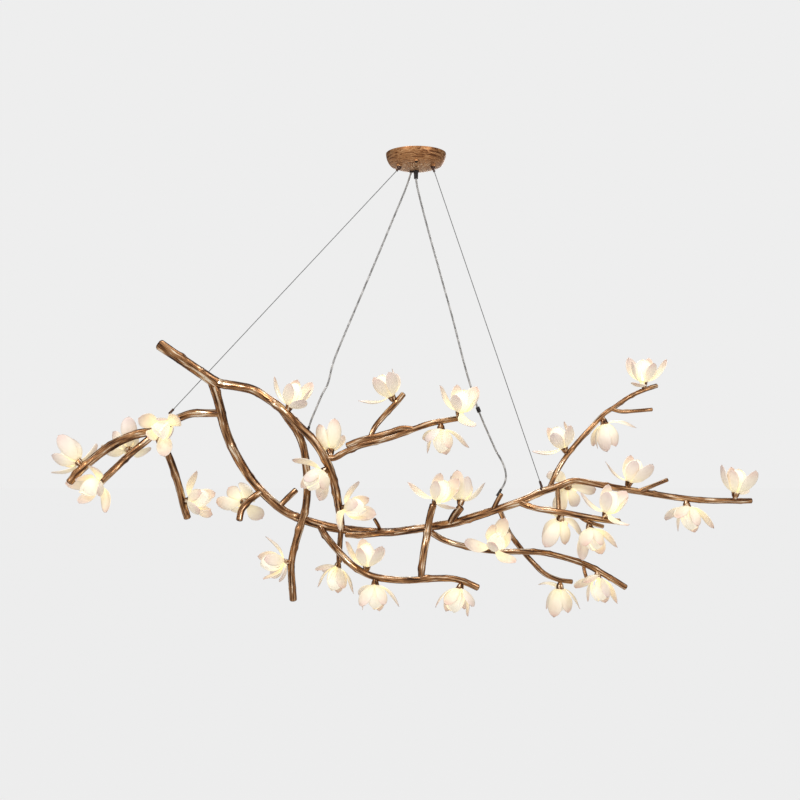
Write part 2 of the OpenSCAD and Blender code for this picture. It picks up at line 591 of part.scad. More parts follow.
// The gripper's barrel goes through the canopy, and its ball carries the plunger
module wire_gripper(s) {
    nut_z = gripper_pad_z + canopy_pad_h + 4;
    barrel_z = gripper_pad_z - gripper_collar_h;
    color(steel) difference() {
        union() {
            translate(ball_at(s)) sphere(d = gripper_ball_d, $fn = 48);
            translate([ball_at(s).x, hang_y, barrel_z])
                cylinder(d = 12, h = gripper_collar_h, $fn = 48);
            translate([ball_at(s).x, hang_y, barrel_z])
                cylinder(d = gripper_thread_d, h = nut_z + 5.5 - barrel_z, $fn = 48);
            translate([ball_at(s).x, hang_y, nut_z])
                cylinder(d = 14, h = 4, $fn = 6);
        }
        aimed(ball_at(s), wire_out(s), [0, 1, 0])
            cylinder(d = plunger_d + 2 * slip, h = gripper_ball_d, $fn = 32);
    }
}

module gripper_plunger(s) {
    inner = plunger_travel + 0.3;
    flange_h = 1.2;
    color(steel) aimed(ball_at(s), wire_out(s), [0, 1, 0]) difference() {
        union() {
            translate([0, 0, inner])
                cylinder(d = plunger_d, h = gripper_ball_d / 2 + plunger_l - inner, $fn = 48);
            translate([0, 0, gripper_ball_d / 2 + plunger_l - flange_h])
                cylinder(d = plunger_d + 1.4, h = flange_h, $fn = 48);
        }
        translate([0, 0, -1]) cylinder(d = wire_d + 2 * slip, h = gripper_ball_d + plunger_l, $fn = 32);
    }
}

// A post on a branch with a ferrule that is bored for the wire's end
module wire_anchors() {
    color(bronze) for (s = [-1, 1]) difference() {
        union() {
            aimed(anchor_foot(s), anchor_head(s) - anchor_foot(s), [1, 0, 0])
                cylinder(d = anchor_d, h = norm(anchor_head(s) - anchor_foot(s)), $fn = 48);
            translate(anchor_head(s)) sphere(d = anchor_d + 1, $fn = 48);
            aimed(anchor_head(s), -wire_out(s), [0, 1, 0])
                cylinder(d = anchor_d, h = anchor_l, $fn = 48);
        }
        aimed(anchor_head(s), -wire_out(s), [0, 1, 0])
            translate([0, 0, anchor_l - anchor_bore])
            cylinder(d = wire_d + 0.2, h = anchor_bore + 1, $fn = 32);
        loft(stretch(anchor_seat(s)[0], anchor_seat(s)[1], 1));
    }
}

module steel_wire(s) {
    far = anchor_l - anchor_bore;
    color(steel) aimed(mouth_at(s) + wire_gap * wire_out(s), wire_out(s), [0, 1, 0])
        cylinder(d = wire_d, h = norm(anchor_head(s) - mouth_at(s)) - wire_gap - far, $fn = 32);
}

cable_left = [
    [each grommet_at, grommet_z - cable_gap],
    for (p = cable_left_points) sighted(p)
];
cable_right = [[0, 0, gland_end_z - cable_gap], for (p = cable_right_points) sighted(p)];

module power_cable(points, steps) {
    rings = [for (p = smooth(points, steps)) [each p, cable_d / 2]];
    color(steel) loft([
        for (i = [0 : len(rings) - 1])
            let (
                along = i == 0 ? [0, 0, -1]
                    : unit(xyz(rings[min(i + 1, len(rings) - 1)]) - xyz(rings[i - 1])),
                side = unit(cross(along, [0, 1, 0])),
                up = cross(side, along)
            )
            [for (k = [0 : 7]) xyz(rings[i]) + cable_d / 2 * (cos(45 * k) * side + sin(45 * k) * up)]
    ]);
}

// The rubber bush through which a cable enters a branch
module cable_bush(points, seat_at) {
    end = last(points);
    inward = unit(end - points[len(points) - 2]);
    color(dark) difference() {
        aimed(end + 0.05 * inward, inward, [0, 1, 0])
            cylinder(d1 = cable_d + 1, d2 = cable_d + 3, h = bush_l, $fn = 32);
        loft(stretch(seat_at[0], seat_at[1], 2));
    }
}

module cable_bushes() {
    cable_bush(cable_left, bush_seats[0]);
    cable_bush(cable_right, bush_seats[1]);
}

module cable_bead() {
    a = cable_right[bead_point];
    b = cable_right[bead_point + 1];
    color(dark) aimed(mix(a, b, 0.1), b - a, [0, 1, 0]) difference() {
        cylinder(d = cable_d + 5, h = bead_l, $fn = 48);
        translate([0, 0, -1]) cylinder(d = cable_d + 0.4, h = bead_l + 2, $fn = 48);
    }
}

// The bronze stem and cup under each flower
module calyx_cups() {
    stem_d = 11;
    color(bronze) for (f = FLOWERS) {
        middle = seat(f[1], f[2]);
        root_r = min(stem_d / 2, 0.8 * middle[3]);
        difference() {
            at_cup(f) rotate_extrude($fn = 40) polygon([
                [0, -cup_reach], [root_r, -cup_reach], [stem_d / 2 - 0.5, -cup_h - 4],
                [0.8 * cup_r, -cup_h + 1], [cup_r, -3], [cup_r, 0], [holder_d / 2 + slip, 0],
                [holder_d / 2 + slip, -holder_depth], [0, -holder_depth]
            ]);
            loft(stretch(f[1], f[2], 1));
        }
    }
}

module lamp_holders() {
    color(white) for (f = FLOWERS) at_cup(f) difference() {
        translate([0, 0, -holder_depth]) cylinder(d = holder_d, h = holder_depth + holder_top, $fn = 40);
        for (s = [-1, 1]) translate([s * pin_pitch / 2, 0, holder_top - pin_l])
            cylinder(d = pin_d + 0.2, h = pin_l + 1, $fn = 16);
    }
}

module led_lamps() {
    color(porcelain) for (f = FLOWERS) at_cup(f) translate([0, 0, holder_top]) {
        cylinder(d = lamp_d, h = lamp_l - lamp_d / 2, $fn = 32);
        translate([0, 0, lamp_l - lamp_d / 2]) sphere(d = lamp_d, $fn = 32);
        for (s = [-1, 1]) translate([s * pin_pitch / 2, 0, 0.5 - pin_l])
            cylinder(d = pin_d, h = pin_l, $fn = 16);
    }
}

// A cupped petal that stands on its narrow end, cut from a hollow ball by a pointed oval
module tepal(l, w, widest, ball_r, tip_r) {
    side_r = (widest * widest + w * w / 4) / w;
    sink = sqrt(ball_r * ball_r - l * l / 4);
    rise = ball_r - sink;
    intersection() {
        translate([-sink, 0, l / 2]) difference() {
            sphere(r = ball_r, $fn = 64);
            sphere(r = ball_r - tepal_t, $fn = 64);
        }
        translate([-tepal_t - 2, side_r - w / 2, widest])
            rotate([0, 90, 0]) cylinder(r = side_r, h = rise + tepal_t + 4, $fn = 96);
        translate([-tepal_t - 2, w / 2 - side_r, widest])
            rotate([0, 90, 0]) cylinder(r = side_r, h = rise + tepal_t + 4, $fn = 96);
        translate([-tepal_t - 2, 0, l - tip_r]) rotate([0, 90, 0]) union() {
            cylinder(r = tip_r, h = rise + tepal_t + 4, $fn = 64);
            translate([0, -tip_r, 0]) cube([l, 2 * tip_r, rise + tepal_t + 4]);
        }
    }
}

// Three outer tepals, each with its own lean, round a cup of three inner ones, on a ring that
// sits on the cup's rim
module flower(leans) {
    bore_r = holder_d / 2 + slip;
    difference() {
        union() {
            rotate_extrude($fn = 48) polygon([
                [bore_r - 1, 0], [cup_r, 0], [cup_r + 1, 3], [cup_r + 0.5, 6], [cup_r - 1, 8],
                [bore_r - 1, 8]
            ]);
            for (k = [0 : 2]) {
                rotate([0, 0, 120 * k]) translate([cup_r - 0.5, 0, 2.5]) rotate([0, leans[k], 0])
                    tepal(outer_l, outer_w, 0.58 * outer_l, 0.78 * outer_l, 0.34 * outer_l);
                rotate([0, 0, 120 * k + 60]) translate([cup_r, 0, 4]) rotate([0, -6, 0])
                    tepal(inner_l, inner_w, 0.5 * inner_l, 0.64 * inner_l, 0.36 * inner_l);
            }
        }
        translate([0, 0, -1]) cylinder(r = bore_r, h = holder_top + 5, $fn = 48);
    }
}

module flowers(name) {
    color(porcelain) for (f = FLOWERS) if (f[0] == name) at_cup(f) flower(f[5]);
}

function unique(names) = [for (i = [0 : len(names) - 1]) if (search([names[i]], names)[0] == i) names[i]];
branch_nodes = unique([for (b = BRANCHES) b[1]]);
flower_nodes = unique([for (f = FLOWERS) f[0]]);

ceiling_bracket();
canopy();
canopy_screws();
led_driver();
terminal_block();
cord_gland();
cord_grommet();
wire_gripper(-1);  // wire_gripper_left
wire_gripper(1);  // wire_gripper_right
gripper_plunger(-1);  // gripper_plunger_left
gripper_plunger(1);  // gripper_plunger_right
steel_wire(-1);  // steel_wire_left
steel_wire(1);  // steel_wire_right
wire_anchors();
power_cable(cable_left, 3);  // power_cable_left
power_cable(cable_right, 3);  // power_cable_right
cable_bead();
cable_bushes();
calyx_cups();
lamp_holders();
led_lamps();
for (name = branch_nodes)
    branches(name);
for (name = flower_nodes)
    flowers(name);
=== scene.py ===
import math
import random

import bpy
import numpy as np
from mathutils import Matrix, Vector, noise


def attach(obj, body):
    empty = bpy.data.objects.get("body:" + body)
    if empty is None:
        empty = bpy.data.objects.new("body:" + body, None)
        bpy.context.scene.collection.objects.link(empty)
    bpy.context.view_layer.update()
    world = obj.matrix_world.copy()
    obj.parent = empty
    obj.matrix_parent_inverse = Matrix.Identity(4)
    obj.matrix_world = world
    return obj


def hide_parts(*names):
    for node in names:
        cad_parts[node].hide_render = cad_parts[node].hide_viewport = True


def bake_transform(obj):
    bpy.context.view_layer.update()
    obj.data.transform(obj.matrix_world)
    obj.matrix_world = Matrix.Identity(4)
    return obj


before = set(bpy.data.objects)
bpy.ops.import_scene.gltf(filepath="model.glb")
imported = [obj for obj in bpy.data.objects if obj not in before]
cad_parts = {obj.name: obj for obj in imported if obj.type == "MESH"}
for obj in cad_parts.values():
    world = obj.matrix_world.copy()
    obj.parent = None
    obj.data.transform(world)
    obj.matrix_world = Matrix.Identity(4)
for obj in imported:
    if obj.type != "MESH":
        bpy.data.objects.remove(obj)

bpy.context.scene.view_settings.view_transform = "Standard"
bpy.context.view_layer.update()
CEILING, HANGING = "ceiling_mount", "hanging_branches"
MM = 0.001

# ---------------------------------------------------------------- camera
camera = bpy.data.objects.new("camera", bpy.data.cameras.new("camera"))
bpy.context.collection.objects.link(camera)
camera.location = (-0.040, -2.6, -0.700)
camera.rotation_euler = (math.pi / 2, 0, 0)
camera.data.sensor_width = 36
camera.data.lens = 46.8
camera.data.shift_y = 0.0425
bpy.context.scene.camera = camera

# ---------------------------------------------------------------- drawing
# The front drawing, in millimetres, as seen from the eye.
EYE = np.array([-40.0, -2600.0, -700.0])
CUP_REACH = 19  # from a branch's middle to the rim of a flower's cup
HANG_Y, BALANCE_Y = -22.0, 13.2  # depth of the two wires, and what balances the branches below them

# Each branch: its name, the CAD node that it stands for, and its points (x, depth, z, radius).
BRANCHES = [
    ["trunk", "trunk", [[-498, -30, -574, 13], [-540, -38, -545, 12.5], [-590, -48, -511, 13],
        [-637, -58, -479, 13.5]]],
    ["upper_arch", "upper_arch", [[-512, -31, -564, 10.5], [-485, -34, -575, 11],
        [-445, -44, -581, 11], [-405, -55, -591, 11], [-365, -68, -615, 10.5],
        [-330, -80, -642, 10.5], [-295, -88, -677, 10.5], [-262, -90, -709, 10],
        [-235, -88, -748, 10], [-214, -78, -790, 10], [-202, -60, -835, 10],
        [-194, -32, -878, 9.5], [-188, 0, -918, 9], [-186, 12, -936, 8.5]]],
    ["main_limb", "main_limb", [[-511, -31, -567, 10], [-501, -26, -595, 11.5],
        [-491, -18, -632, 11.5], [-479, -2, -682, 11.5], [-462, 12, -728, 11.5],
        [-439, 26, -772, 11.5], [-407, 38, -819, 11], [-370, 45, -859, 11],
        [-325, 48, -895, 11], [-278, 47, -915, 11], [-228, 42, -930, 11], [-175, 34, -939, 11],
        [-120, 24, -944, 10.5], [-65, 12, -945, 10], [-10, 3, -939, 10], [45, 0, -931, 10],
        [100, 0, -921, 10], [155, 0, -904, 10], [210, 0, -886, 9.5], [260, 0, -869, 9.5],
        [310, 0, -846, 9.5], [355, 0, -831, 9], [392, 0, -818, 8.5], [435, -4, -822, 8],
        [485, -10, -832, 8], [540, -16, -841, 8], [600, -22, -851, 7.5], [660, -28, -860, 7.5],
        [725, -34, -866, 7.5], [790, -40, -867, 7], [836, -44, -867, 6.5]]],
    ["drooping_limb", "drooping_limb", [[-336, -78, -639, 8], [-320, -62, -662, 9],
        [-297, -40, -695, 9.5], [-282, -18, -732, 9.5], [-275, 0, -778, 9.5],
        [-272, 10, -827, 9.5], [-275, 14, -878, 9.5], [-286, 14, -920, 9.5], [-301, 6, -972, 9],
        [-311, 0, -1018, 9], [-311, 0, -1060, 9], [-307, 0, -1112, 9]]],
    ["middle_limb", "middle_limb", [[-229, -86, -757, 7], [-205, -78, -760, 7.5],
        [-175, -71, -744, 7.5], [-140, -65, -729, 7.5], [-100, -59, -719, 7.5],
        [-55, -54, -706, 7.5], [-10, -50, -689, 7.5], [35, -47, -674, 7.5], [75, -45, -666, 7],
        [106, -44, -661, 7]]],
    ["middle_limb_twin", "middle_limb_twin", [[-8, -50, -688, 6], [-35, -52, -686, 7],
        [-62, -55, -694, 7], [-98, -59, -705, 7], [-138, -65, -715, 7], [-170, -70, -728, 7]]],
    ["middle_twig", "middle_twig", [[-115, -61, -710, 5.5], [-102, -54, -682, 6.5],
        [-80, -46, -655, 7], [-55, -40, -628, 7], [-33, -36, -602, 7]]],
    ["front_limb", "front_limb", [[-241, 43, -927, 7.5], [-230, 26, -948, 8.5],
        [-212, 4, -972, 8.5], [-187, -20, -1001, 8.5], [-155, -38, -1031, 8.5],
        [-112, -50, -1054, 8.5], [-62, -56, -1064, 8.5], [-10, -58, -1065, 8.5],
        [45, -58, -1061, 8.5], [92, -56, -1062, 8], [125, -52, -1071, 8], [152, -48, -1083, 8]]],
    ["riser", "riser", [[13, -58, -1064, 7], [15, -56, -1032, 8.5], [20, -50, -992, 9],
        [28, -42, -950, 9], [34, -42, -910, 8.5], [42, -46, -880, 8.5]]],
    ["lower_limb", "lower_limb", [[22, 1, -934, 6.5], [45, 14, -951, 7.5], [75, 24, -967, 7.5],
        [118, 32, -980, 7.5], [165, 38, -989, 7.5], [215, 40, -994, 7.5], [265, 40, -994, 7.5],
        [312, 36, -996, 7.5], [352, 30, -1004, 7.5], [392, 22, -1015, 7.5],
        [435, 14, -1031, 7.5], [480, 6, -1056, 7.5], [522, 0, -1082, 7.5]]],
    ["rear_limb", "rear_limb", [[208, 0, -887, 6], [218, 30, -912, 6.5], [232, 54, -945, 6.5],
        [260, 66, -984, 6.5], [290, 68, -1019, 6.5], [320, 68, -1048, 6.5], [355, 64, -1064, 6],
        [388, 60, -1069, 6]]],
    ["right_spur", "right_spur", [[255, 0, -870, 6.5], [278, -14, -879, 7.5],
        [310, -28, -888, 7.5], [352, -40, -894, 7.5], [400, -50, -902, 7.5],
        [452, -58, -912, 7.5], [506, -64, -919, 7.5]]],
    ["rising_limb", "rising_limb", [[332, 0, -839, 6], [348, 10, -802, 6.5],
        [365, 22, -772, 6.5], [384, 36, -745, 6.5], [409, 52, -715, 6.5], [438, 68, -684, 6.5],
        [468, 84, -652, 6], [500, 98, -630, 6], [535, 110, -606, 6], [570, 120, -590, 6],
        [600, 128, -580, 6]]],
    ["left_bough", "left_bough", [[-488, -14, -648, 9], [-522, -12, -648, 10],
        [-560, -6, -649, 10], [-595, 0, -661, 10], [-628, 0, -680, 10.5], [-650, -2, -697, 10.5]]],
    ["left_outer_limb", "left_outer_limb", [[-642, -2, -691, 9], [-670, -10, -695, 10.5],
        [-700, -22, -701, 11], [-738, -38, -716, 11], [-775, -54, -738, 11],
        [-810, -68, -765, 10.5], [-840, -80, -791, 10], [-864, -89, -818, 9]]],
    ["left_inner_limb", "left_inner_limb", [[-646, -2, -694, 8], [-675, -6, -718, 8.5],
        [-702, -12, -740, 8.5], [-730, -24, -765, 8.5], [-760, -42, -794, 8.5],
        [-786, -58, -819, 8.5]]],
    ["left_drop_limb", "left_drop_limb", [[-646, 0, -693, 8], [-640, 12, -720, 9],
        [-622, 22, -748, 9], [-605, 34, -791, 9], [-591, 42, -838, 9], [-581, 46, -878, 9],
        [-572, 48, -907, 9]]],
    ["left_twig", "twigs_left", [[-385, 42, -843, 7.5], [-405, 30, -857, 8.5],
        [-422, 14, -871, 8.5], [-436, 2, -890, 8.5], [-441, -4, -912, 8.5]]],
    ["rear_twig", "twigs_left", [[-342, 47, -882, 7], [-322, 52, -861, 7.5],
        [-302, 56, -842, 7.5]]],
    ["hanging_twig", "twigs_left", [[-187, 36, -938, 6.5], [-190, 34, -968, 7],
        [-192, 32, -995, 7], [-192, 30, -1018, 7]]],
    ["splint", "twigs_middle", [[-52, 9, -944, 6.5], [-84, -1, -948, 8], [-130, 4, -952, 8],
        [-172, 10, -951, 8]]],
    ["bud_twig", "twigs_middle", [[-88, 18, -944, 4], [-95, 8, -928, 4.5], [-103, 0, -914, 4.5]]],
    ["short_stub", "twigs_middle", [[85, 0, -924, 8], [95, -8, -905, 9.5], [110, -16, -886, 9.5]]],
    ["cable_stub", "twigs_middle", [[192, 0, -892, 6], [201, -4, -872, 6], [212, -6, -852, 6]]],
    ["spur_fork", "twigs_right", [[405, -51, -903, 4.5], [420, -50, -914, 5],
        [442, -46, -924, 5], [466, -42, -931, 5]]],
    ["spur_link", "twigs_right", [[357, -41, -895, 5], [356, -22, -866, 5.5], [354, -2, -834, 5]]],
    ["rising_fork", "twigs_right", [[490, 94, -638, 4.5], [515, 96, -644, 5],
        [552, 100, -642, 5], [588, 104, -639, 5]]],
    ["main_fork", "twigs_right", [[550, -17, -843, 4.5], [575, -26, -836, 5],
        [602, -34, -825, 5], [627, -42, -815, 5]]],
    ["lower_fork", "twigs_right", [[418, 17, -1025, 4], [421, 8, -1042, 4.5],
        [425, 2, -1056, 4.5]]],
]

# Each flower: its CAD node, its branch, the point on it (x, z), the way that it opens, the turn of
# its first tepal, and how far its three outer tepals lean out.
FLOWERS = [
    ["flowers_left_outer", "left_outer_limb", [-829, -781], [-0.75, 0.35, 0.45], 239, [42, 38, 70]],
    ["flowers_left_outer", "left_inner_limb", [-716, -752], [-0.3, 0.75, 0.6], 200, [55, 50, 50]],
    ["flower_left_inner", "left_inner_limb", [-782, -815], [-0.35, -0.85, -0.3], 190, [72, 58, 50]],
    ["flower_left_bough", "left_bough", [-627, -680], [0.05, -0.9, -0.15], 150, [42, 48, 40]],
    ["flower_left_drop", "left_drop_limb", [-583, -868], [0.75, -0.3, 0.1], 95, [62, 35, 75]],
    ["flower_left_twig", "left_twig", [-426, -874], [-0.35, 0.9, 0.15], 190, [45, 22, 60]],
    ["flowers_upper_arch", "upper_arch", [-322, -648], [0.37, -0.2, 0.9], 157, [42, 55, 25]],
    ["flowers_upper_arch", "upper_arch", [-218, -781], [-0.6, -0.45, -0.6], 135, [59, 62, 42]],
    ["flowers_upper_arch", "upper_arch", [-193, -885], [0.85, -0.55, 0.02], 98, [50, 66, 40]],
    ["flowers_middle_limb", "middle_limb", [-212, -760], [-0.15, 0.5, 0.85], 190, [34, 30, 35]],
    ["flowers_middle_limb", "middle_twig", [-52, -624], [-0.45, -0.2, 0.85], 209, [66, 30, 55]],
    ["flowers_middle_limb", "middle_limb", [104, -661], [0.2, -0.5, 0.8], 163, [45, 80, 50]],
    ["flowers_middle_limb", "middle_limb", [62, -668], [0, -0.25, -0.95], 0, [47, 48, 77]],
    ["flowers_front_limb", "front_limb", [-124, -1049], [0.05, -0.3, 0.95], 180, [37, 25, 70]],
    ["flowers_front_limb", "front_limb", [-102, -1056], [0, -0.35, -0.95], 0, [42, 33, 80]],
    ["flowers_front_limb", "front_limb", [115, -1069], [-0.3, -0.35, -0.85], 160, [30, 70, 51]],
    ["flower_hanging_twig", "hanging_twig", [-192, -1014], [-0.2, -0.3, -0.93], 348, [39, 64, 84]],
    ["flower_drooping_limb", "drooping_limb", [-311, -1020], [-0.9, -0.42, 0], 90, [50, 80, 63]],
    ["flower_riser", "riser", [41, -882], [0.42, -0.4, 0.8], 150, [82, 60, 20]],
    ["flowers_main_limb", "short_stub", [109, -887], [0.15, 0.35, 0.92], 350, [35, 38, 30]],
    ["flowers_main_limb", "main_limb", [380, -822], [0.1, 0.85, -0.5], 0, [60, 40, 60]],
    ["flowers_main_tip", "main_limb", [526, -839], [0.3, -0.2, 0.93], 165, [60, 25, 60]],
    ["flowers_main_tip", "main_limb", [674, -862], [0.07, -0.3, -0.95], 5, [35, 54, 80]],
    ["flowers_main_tip", "main_limb", [796, -867], [0.1, -0.15, 0.97], 175, [28, 30, 85]],
    ["flower_lower_limb", "lower_limb", [452, -1040], [0, -0.4, -0.9], 0, [27, 64, 84]],
    ["flowers_rear_limb", "lower_limb", [188, -991], [0.2, -0.8, 0.55], 186, [74, 58, 42]],
    ["flowers_rear_limb", "rear_limb", [360, -1065], [0, 0.1, -0.97], 0, [37, 18, 82]],
    ["flowers_right_spur", "right_spur", [365, -896], [-0.1, 0.6, -0.8], 0, [49, 35, 72]],
    ["flowers_right_spur", "right_spur", [468, -914], [0.3, -0.4, 0.87], 162, [68, 72, 50]],
    ["flowers_right_spur", "spur_fork", [430, -919], [0.12, -0.55, -0.83], 10, [35, 30, 40]],
    ["flowers_rising_limb", "rising_limb", [570, -590], [-0.1, -0.25, 0.95], 5, [44, 30, 72]],
    ["flowers_rising_limb", "rising_limb", [466, -654], [0.25, 0.1, -0.95], 15, [62, 16, 35]],
    ["flowers_rising_limb", "rising_limb", [378, -753], [-0.4, -0.15, 0.9], 206, [70, 35, 72]]
]

# The cables' points below the canopy: x, depth, z.
CABLE_LEFT = [[-27, 3, -90], [-60, -6, -169], [-102, -20, -270], [-146, -42, -374],
    [-190, -64, -478], [-208, -72, -525], [-220, -79, -573], [-235, -83, -602],
    [-250, -87, -637], [-261, -89, -663], [-267, -89, -681]]

CABLE_RIGHT = [[5, 5, -91], [30, 4, -189], [60, 3, -297], [91, 2, -409],
    [118, 1, -515], [134, 0, -572], [152, -1, -629], [166, -2, -665], [182, -3, -702],
    [200, -4, -742], [218, -5, -775], [225, -6, -804], [221, -6, -824], [213, -6, -838]]


def sighted(p):
    """A drawn point at its depth, on the line of sight through it."""
    depth = p[1] + HANG_Y + BALANCE_Y
    k = 1 - depth / EYE[1]
    return np.array([EYE[0] + (p[0] - EYE[0]) * k, depth, EYE[2] + (p[2] - EYE[2]) * k])


def curve(a, b, c, d, t):
    """Between b and c on a smooth curve through all four."""
    return b + 0.5 * t * ((c - a) + t * ((2 * a - 5 * b + 4 * c - d) + t * (3 * b - a - 3 * c + d)))


def smooth(points, steps):
    """A smooth curve through the points; steps is a number, or the most that a step may be long."""
    p = [np.array(q, float) for q in points]
    out = []
    for i in range(len(p) - 1):
        span = np.linalg.norm((p[i + 1] - p[i])[:3])
        n = steps if isinstance(steps, int) else max(2, math.ceil(span / steps))
        for k in range(n):
            out.append(curve(p[max(i - 1, 0)], p[i], p[i + 1], p[min(i + 2, len(p) - 1)], k / n))
    return out + [p[-1]]


def unit(v):
    return v / np.linalg.norm(v)


def tangents(points):
    last = len(points) - 1
    return [unit(points[min(i + 1, last)] - points[max(i - 1, 0)]) for i in range(last + 1)]


def around(t):
    """Two directions square to t, the same way round as in the CAD."""
    side = unit(np.cross(t, [0, 1, 0]))
    return side, np.cross(side, t)


DRAWN = {name: smooth(points, 2) for name, _, points in BRANCHES}


def seat(name, at):
    """The middle of a branch at a drawn point: place and radius, in millimetres."""
    rings = DRAWN[name]
    at = np.array(at, float)
    best = None
    for i in range(len(rings) - 1):
        a = rings[i][[0, 2]]
        span = rings[i + 1][[0, 2]] - a
        t = min(1, max(0, float((at - a) @ span / (span @ span))))
        d = np.linalg.norm(at - a - t * span)
        if best is None or d < best[0]:
            best = (d, i, t)
    _, i, t = best
    a, b = sighted(rings[i]), sighted(rings[i + 1])
    return a + (b - a) * t, rings[i][3] + (rings[i + 1][3] - rings[i][3]) * t


def flower_frame(flower):
    """A flower's axes, its origin on the cup's rim, and the radius of its branch."""
    _, branch, at, way, turn, _ = flower
    middle, r = seat(branch, at)
    z = unit(np.array(way, float))
    hint = np.array([math.cos(math.radians(turn)), 0, math.sin(math.radians(turn))])
    x = unit(hint - (hint @ z) * z)
    return np.array([x, np.cross(z, x), z]), middle + CUP_REACH * z, r


# ---------------------------------------------------------------- nodes of materials
def material(name):
    m = bpy.data.materials.new(name)
    m.use_nodes = True
    m.node_tree.nodes.clear()
    out = m.node_tree.nodes.new("ShaderNodeOutputMaterial")
    shader = m.node_tree.nodes.new("ShaderNodeBsdfPrincipled")
    m.node_tree.links.new(shader.outputs[0], out.inputs[0])
    return m, m.node_tree, shader, out


def add(tree, kind, **values):
    n = tree.nodes.new("ShaderNode" + kind)
    for key, value in values.items():
        if hasattr(n, key):
            setattr(n, key, value)
        else:
            n.inputs[key.replace("_", " ")].default_value = value
    return n


def link(tree, a, b):
    tree.links.new(a, b)


def settle(shader, **values):
    """Constant values on a shader's own sockets."""
    for key, value in values.items():
        shader.inputs[key.replace("_", " ")].default_value = value


def ramp(tree, source, *stops):
    """Each stop is a place and a colour, or a place and a plain number."""
    n = tree.nodes.new("ShaderNodeValToRGB")
    while len(n.color_ramp.elements) < len(stops):
        n.color_ramp.elements.new(0.5)
    for e, (at, colour) in zip(n.color_ramp.elements, stops):
        e.position = at
        e.color = (*colour, 1) if isinstance(colour, tuple) else (colour, colour, colour, 1)
    link(tree, source, n.inputs[0])
    return n.outputs[0]


def feed(tree, value, socket):
    """Link a socket to another, or give it a number or a colour."""
    if hasattr(value, "links"):
        link(tree, value, socket)
    else:
        socket.default_value = (*value, 1) if isinstance(value, tuple) else value


def mixed(tree, factor, a, b):
    n = tree.nodes.new("ShaderNodeMix")
    n.data_type = "RGBA"
    for value, socket in ((factor, n.inputs[0]), (a, n.inputs[6]), (b, n.inputs[7])):
        feed(tree, value, socket)
    return n.outputs[2]


def maths(tree, kind, a, b=0.0):
    n = add(tree, "Math", operation=kind)
    feed(tree, a, n.inputs[0])
    feed(tree, b, n.inputs[1])
    return n.outputs[0]


def plus(tree, a, b):
    return maths(tree, "ADD", a, b)


def times(tree, a, b):
    return maths(tree, "MULTIPLY", a, b)


def mix_shaders(tree, factor, a, b, out):
    n = add(tree, "MixShader")
    for socket, source in zip(n.inputs, (factor, a, b)):
        link(tree, source, socket)
    link(tree, n.outputs[0], out.inputs[0])


def bumped(tree, shader, height, strength, distance):
    n = add(tree, "Bump", Strength=strength, Distance=distance)
    link(tree, height, n.inputs["Height"])
    link(tree, n.outputs[0], shader.inputs["Normal"])


def scaled(tree, source, scale):
    n = add(tree, "Mapping")
    link(tree, source, n.inputs[0])
    n.inputs["Scale"].default_value = scale
    return n.outputs[0]


def noisy(tree, vector, scale, detail=4.0, rough=0.55, warp=0.0):
    n = add(tree, "TexNoise", Scale=scale, Detail=detail, Roughness=rough, Distortion=warp)
    link(tree, vector, n.inputs["Vector"])
    return n.outputs[0]


def attribute(tree, name, part="Vector"):
    n = tree.nodes.new("ShaderNodeAttribute")
    n.attribute_name = name
    return n.outputs[part]


def objects_place(tree):
    return add(tree, "TexCoord").outputs["Object"]


def bronze_material():
    """Polished cast bronze with streaks that run along the branch: cream painted highlights on the
    ridges, and dark folds that are partly patina, partly painted shade.
    """
    m, t, s, _ = material("cast_bronze")
    bark = attribute(t, "bark")
    relief = attribute(t, "relief", "Fac")
    flow = noisy(t, scaled(t, bark, (1.2, 1.2, 0.19)), 1.0, 2, 0.5, 0.3)
    lines = noisy(t, scaled(t, bark, (2.9, 2.9, 0.25)), 1.0, 2, 0.5, 0.35)
    pits = noisy(t, scaled(t, bark, (1.9, 1.9, 2.6)), 1.0, 3, 0.6)
    tone = plus(t, plus(t, times(t, flow, 0.50), times(t, lines, 0.50)), times(t, relief, 0.10))
    # painted shade in the ramp's dark stops and painted highlights in its cream top stop
    colour = ramp(t, tone, (0.41, (0.040, 0.015, 0.006)), (0.46, (0.18, 0.075, 0.026)),
                  (0.52, (0.39, 0.185, 0.073)), (0.565, (0.52, 0.30, 0.15)),
                  (0.61, (0.95, 0.78, 0.58)))
    colour = mixed(t, ramp(t, pits, (0.64, 0), (0.72, 0.6)), colour, (0.05, 0.020, 0.008))
    link(t, colour, s.inputs["Base Color"])
    link(t, ramp(t, lines, (0.35, 0.34), (0.65, 0.18)), s.inputs["Roughness"])
    settle(s, Metallic=0.82, Coat_Weight=0.1, Coat_Roughness=0.12)
    bumped(t, s, plus(t, flow, times(t, lines, 0.5)), 0.55, 0.0026)
    return m


def cut_material():
    """The darker face of a cut branch end."""
    m, t, s, _ = material("cut_bronze")
    tone = noisy(t, objects_place(t), 260, 4)
    link(t, ramp(t, tone, (0.3, (0.035, 0.016, 0.008)), (0.7, (0.16, 0.075, 0.035))),
         s.inputs["Base Color"])
    settle(s, Metallic=0.8, Roughness=0.46)
    bumped(t, s, tone, 0.5, 0.0006)
    return m


